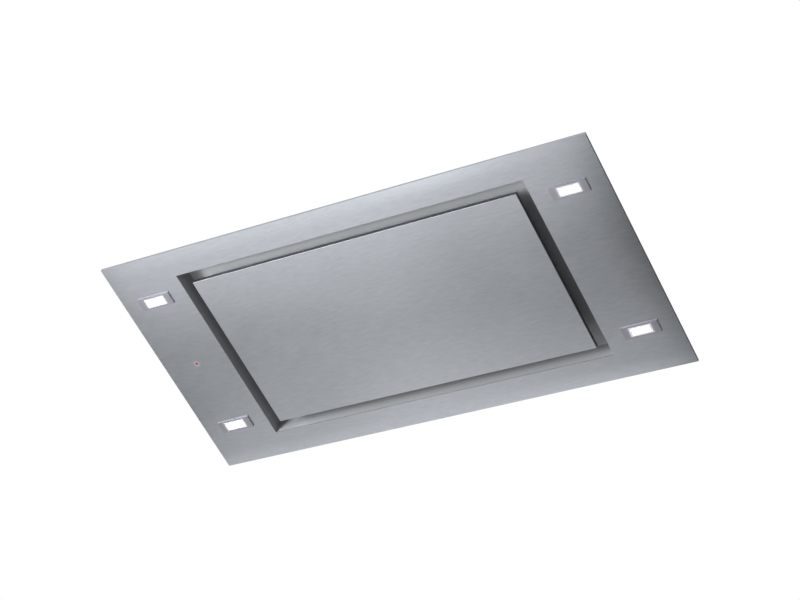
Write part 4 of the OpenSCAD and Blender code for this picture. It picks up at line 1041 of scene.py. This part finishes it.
class HOOD_OT_housing(bpy.types.Operator):
    """Rounds the folds of the housing, its cover and its brackets"""

    bl_idname = "hood.housing"
    bl_label = "Housing"

    def execute(self, context):
        detail = context.scene.hood_detail
        dress_all(("housing_shell", "housing_cover", "suspension_brackets"), detail.sheet_round)
        dress("filter_seat", 0.4 * detail.sheet_round)
        spot_welds(detail.weld_pitch)
        return {"FINISHED"}


def spot_welds(pitch):
    """Adds rows of spot welds up the corners of the long sides and along the foot of the housing."""
    low, high = HOUSING_LOW, HOUSING_HIGH
    weld = round_bar("weld", (0, 0, WELD_RISE - WELD_DEPTH / 2), WELD_RADIUS, WELD_DEPTH, 14)
    choose(weld, lambda face: face.normal.z > 0.9)
    bpy.ops.mesh.inset(thickness=WELD_RIM)
    bpy.ops.transform.translate(value=(0, 0, -WELD_DIP))
    put_down()
    places = []
    foot, start_x, start_y = low.z + WELD_FOOT, low.x + WELD_INSET, low.y + WELD_INSET
    for way in (-1, 1):
        side, end = (low.y, low.x) if way < 0 else (high.y, high.x)
        for x in (start_x, high.x - WELD_INSET):
            places += [((x, side, low.z + WELD_START + pitch * i), (0, way, 0)) for i in range(WELDS_UP)]
        places += [((start_x + pitch * 2 * (i + 1), side, foot), (0, way, 0)) for i in range(WELDS_LONG)]
        places += [((end, start_y + pitch * 2 * (i + 0.5), foot), (way, 0, 0)) for i in range(WELDS_SHORT)]
    welds = [set_at(weld, "weld", Vector(top), Vector(way)) for top, way in places]
    delete(weld)
    piece = join(welds, "spot_welds")
    smooth(piece, 30.0)
    piece.data.materials.append(MATERIALS["zinc_sheet"])
    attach(piece, BODY_OF["housing_shell"])


class HOOD_OT_filters(bpy.types.Operator):
    """Rounds the filter frames and fills them with layers of expanded mesh"""

    bl_idname = "hood.filters"
    bl_label = "Grease filters"

    def execute(self, context):
        detail = context.scene.hood_detail
        for side in ("left", "right"):
            dress("filter_frame_" + side, detail.sheet_round)
            finish_piece(expanded_mesh(side, detail), "filter_mesh_" + side)
        return {"FINISHED"}


def expanded_mesh(side, detail):
    """Layers of zigzag strands that meet at their peaks, as cut and stretched sheet does."""
    low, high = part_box("filter_mesh_" + side)
    pitch, step = detail.cell_l, detail.cell_w / 2
    columns = int((high.x - low.x) / pitch)
    rows = int((high.y - low.y) / (2 * step))
    pitch = (high.x - low.x) / columns
    step = (high.y - low.y) / (2 * rows + 1)
    middle = low.x + pitch / 2
    layers = []
    thick = detail.strand_t
    gap = (high.z - low.z - thick) / max(1, detail.mesh_layers - 1)
    for layer in range(detail.mesh_layers):
        z = low.z + thick / 2 + gap * layer
        strands = []
        for phase in (0, 1):
            y = low.y + step * (1 + phase)
            bar = block("strand", (middle, y, z), (pitch, detail.strand_w, thick))
            choose(bar)
            bpy.ops.mesh.bisect(plane_co=(middle, 0, 0), plane_no=(1, 0, 0))
            choose(bar, lambda face: abs(face.normal.x) > 0.9)
            bpy.ops.mesh.delete(type="FACE")
            swing = (step - detail.strand_w * STRAND_OVERLAP) / 2 * (1 if phase != layer % 2 else -1)
            choose(bar, lambda corner: abs(corner.co.x - middle) < pitch / 8, "VERT")
            bpy.ops.transform.translate(value=(0, swing, 0))
            choose(bar, lambda corner: abs(corner.co.x - middle) > pitch / 8, "VERT")
            bpy.ops.transform.translate(value=(0, -swing, 0))
            put_down()
            strands.append(bar)
        pair = join(strands, "strand_pair")
        apply_modifier(
            pair, "ARRAY", count=columns, use_relative_offset=False, use_constant_offset=True,
            constant_offset_displace=(pitch, 0, 0), use_merge_vertices=True, merge_threshold=0.01 * MM)
        choose(pair)
        bpy.ops.mesh.fill_holes(sides=4)
        put_down()
        apply_modifier(
            pair, "ARRAY", count=rows, use_relative_offset=False, use_constant_offset=True,
            constant_offset_displace=(0, 2 * step, 0))
        layers.append(pair)
    mesh = join(layers, "expanded_mesh_" + side)
    take(mesh)
    bpy.ops.object.shade_flat()
    return mesh


class HOOD_OT_hinges(bpy.types.Operator):
    """Rounds the hinges and catches of the suction panel"""

    bl_idname = "hood.hinges"
    bl_label = "Hinges and catches"

    def execute(self, context):
        nodes = ("hinge_arms", "hinge_brackets", "hinge_pins", "catch_brackets", "catch_magnets",
                 "catch_strikes")
        return dress_all(nodes, context.scene.hood_detail.sheet_round * 0.8)


class HOOD_OT_lamps(bpy.types.Operator):
    """Rounds the lamp bezels, the windows and the heat sinks"""

    bl_idname = "hood.lamps"
    bl_label = "Lamps"

    def execute(self, context):
        detail = context.scene.hood_detail
        for number in range(1, 5):
            dress("lamp_bezel_%d" % number, detail.bezel_round, 3)
            dress("lamp_lens_%d" % number, WINDOW_ROUND)
        return dress_all(("lamp_bodies", "lamp_clips"), HEAT_SINK_ROUND)


class HOOD_OT_mouldings(bpy.types.Operator):
    """Rounds the outlet collar, the control box and the other mouldings"""

    bl_idname = "hood.mouldings"
    bl_label = "Mouldings"

    def execute(self, context):
        nodes = ("outlet_collar", "control_box", "control_lid", "lamp_driver", "cable_gland",
                 "receiver_housing", "inlet_nozzle", "rubber_mounts")
        return dress_all(nodes, context.scene.hood_detail.moulding_round)


def pan_screw(length, radius, recess):
    """A pan-head screw with a cross recess, head up, with its top at the origin."""
    head = round_bar("pan_screw", (0, 0, -HEAD_HEIGHT / 2), radius, HEAD_HEIGHT, 20)
    choose(head, lambda edge: all(head.data.vertices[v].co.z > -0.1 * MM for v in edge.vertices), "EDGE")
    bpy.ops.mesh.bevel(offset=HEAD_ROUND, segments=3, profile=0.6)
    put_down()
    for a, b in ((CROSS_LONG, CROSS_WIDE), (CROSS_WIDE, CROSS_LONG)):
        cut = block("cut", (0, 0, 0), (radius * a, radius * b, 2 * recess))
        apply_modifier(head, "BOOLEAN", operation="DIFFERENCE", object=cut)
        delete(cut)
    shank = round_bar("shank", (0, 0, -(length + HEAD_HEIGHT) / 2), SHANK_RADIUS, length - HEAD_HEIGHT, 12)
    screw = join([head, shank], "pan_screw")
    take(screw)
    bpy.ops.object.shade_smooth_by_angle(angle=math.radians(SMOOTH_ANGLE))
    return screw


class HOOD_OT_screws(bpy.types.Operator):
    """Models the sheet screws with pan heads and cross recesses"""

    bl_idname = "hood.screws"
    bl_label = "Sheet screws"

    def execute(self, context):
        recess = context.scene.hood_detail.recess_depth
        for node in ("sheet_screws", "impeller_screws"):
            screws = []
            for top, way, length, radius in screw_places(node):
                template = pan_screw(length, radius, recess)
                screws.append(set_at(template, "screw", top, way))
                delete(template)
            finish_piece(join(screws, node + "_modelled"), node)
        return {"FINISHED"}


class HOOD_OT_bolts(bpy.types.Operator):
    """Chamfers the hexagon bolts and nuts"""

    bl_idname = "hood.bolts"
    bl_label = "Bolts and nuts"

    def execute(self, context):
        return dress_all(("hex_bolts", "face_nuts"), BOLT_CHAMFER, 1)


# Panel and registration

GROUPS = {
    "hood_stage": HoodStageSettings, "hood_finish": HoodFinishSettings, "hood_detail": HoodDetailSettings}
STEPS = ("stage", "finishes", "face_sheets", "housing", "filters", "hinges", "lamps", "mouldings", "screws",
         "bolts")


class HOOD_PT_panel(bpy.types.Panel):
    """Lists the hood's steps in the sidebar"""

    bl_label = "Ceiling hood"
    bl_idname = "HOOD_PT_panel"
    bl_space_type = "VIEW_3D"
    bl_region_type = "UI"
    bl_category = "Hood"

    def draw(self, context):
        for step in STEPS:
            self.layout.operator("hood." + step)
        for key, group in GROUPS.items():
            box = self.layout.box()
            for name in group.__annotations__:
                box.prop(getattr(context.scene, key), name)


CLASSES = (
    *GROUPS.values(), HOOD_OT_stage, HOOD_OT_finishes, HOOD_OT_face_sheets, HOOD_OT_housing,
    HOOD_OT_filters, HOOD_OT_hinges, HOOD_OT_lamps, HOOD_OT_mouldings, HOOD_OT_screws, HOOD_OT_bolts,
    HOOD_PT_panel)


def register():
    """Registers the classes and hangs the settings on the scene."""
    for cls in CLASSES:
        bpy.utils.register_class(cls)
    for key, group in GROUPS.items():
        setattr(bpy.types.Scene, key, PointerProperty(type=group))


def unregister():
    """Takes the settings and the classes away."""
    for key in GROUPS:
        delattr(bpy.types.Scene, key)
    for cls in reversed(CLASSES):
        bpy.utils.unregister_class(cls)


def main():
    """Makes the whole scene."""
    register()
    for step in STEPS:
        getattr(bpy.ops.hood, step)()
    put_down()


if __name__ == "__main__":
    main()
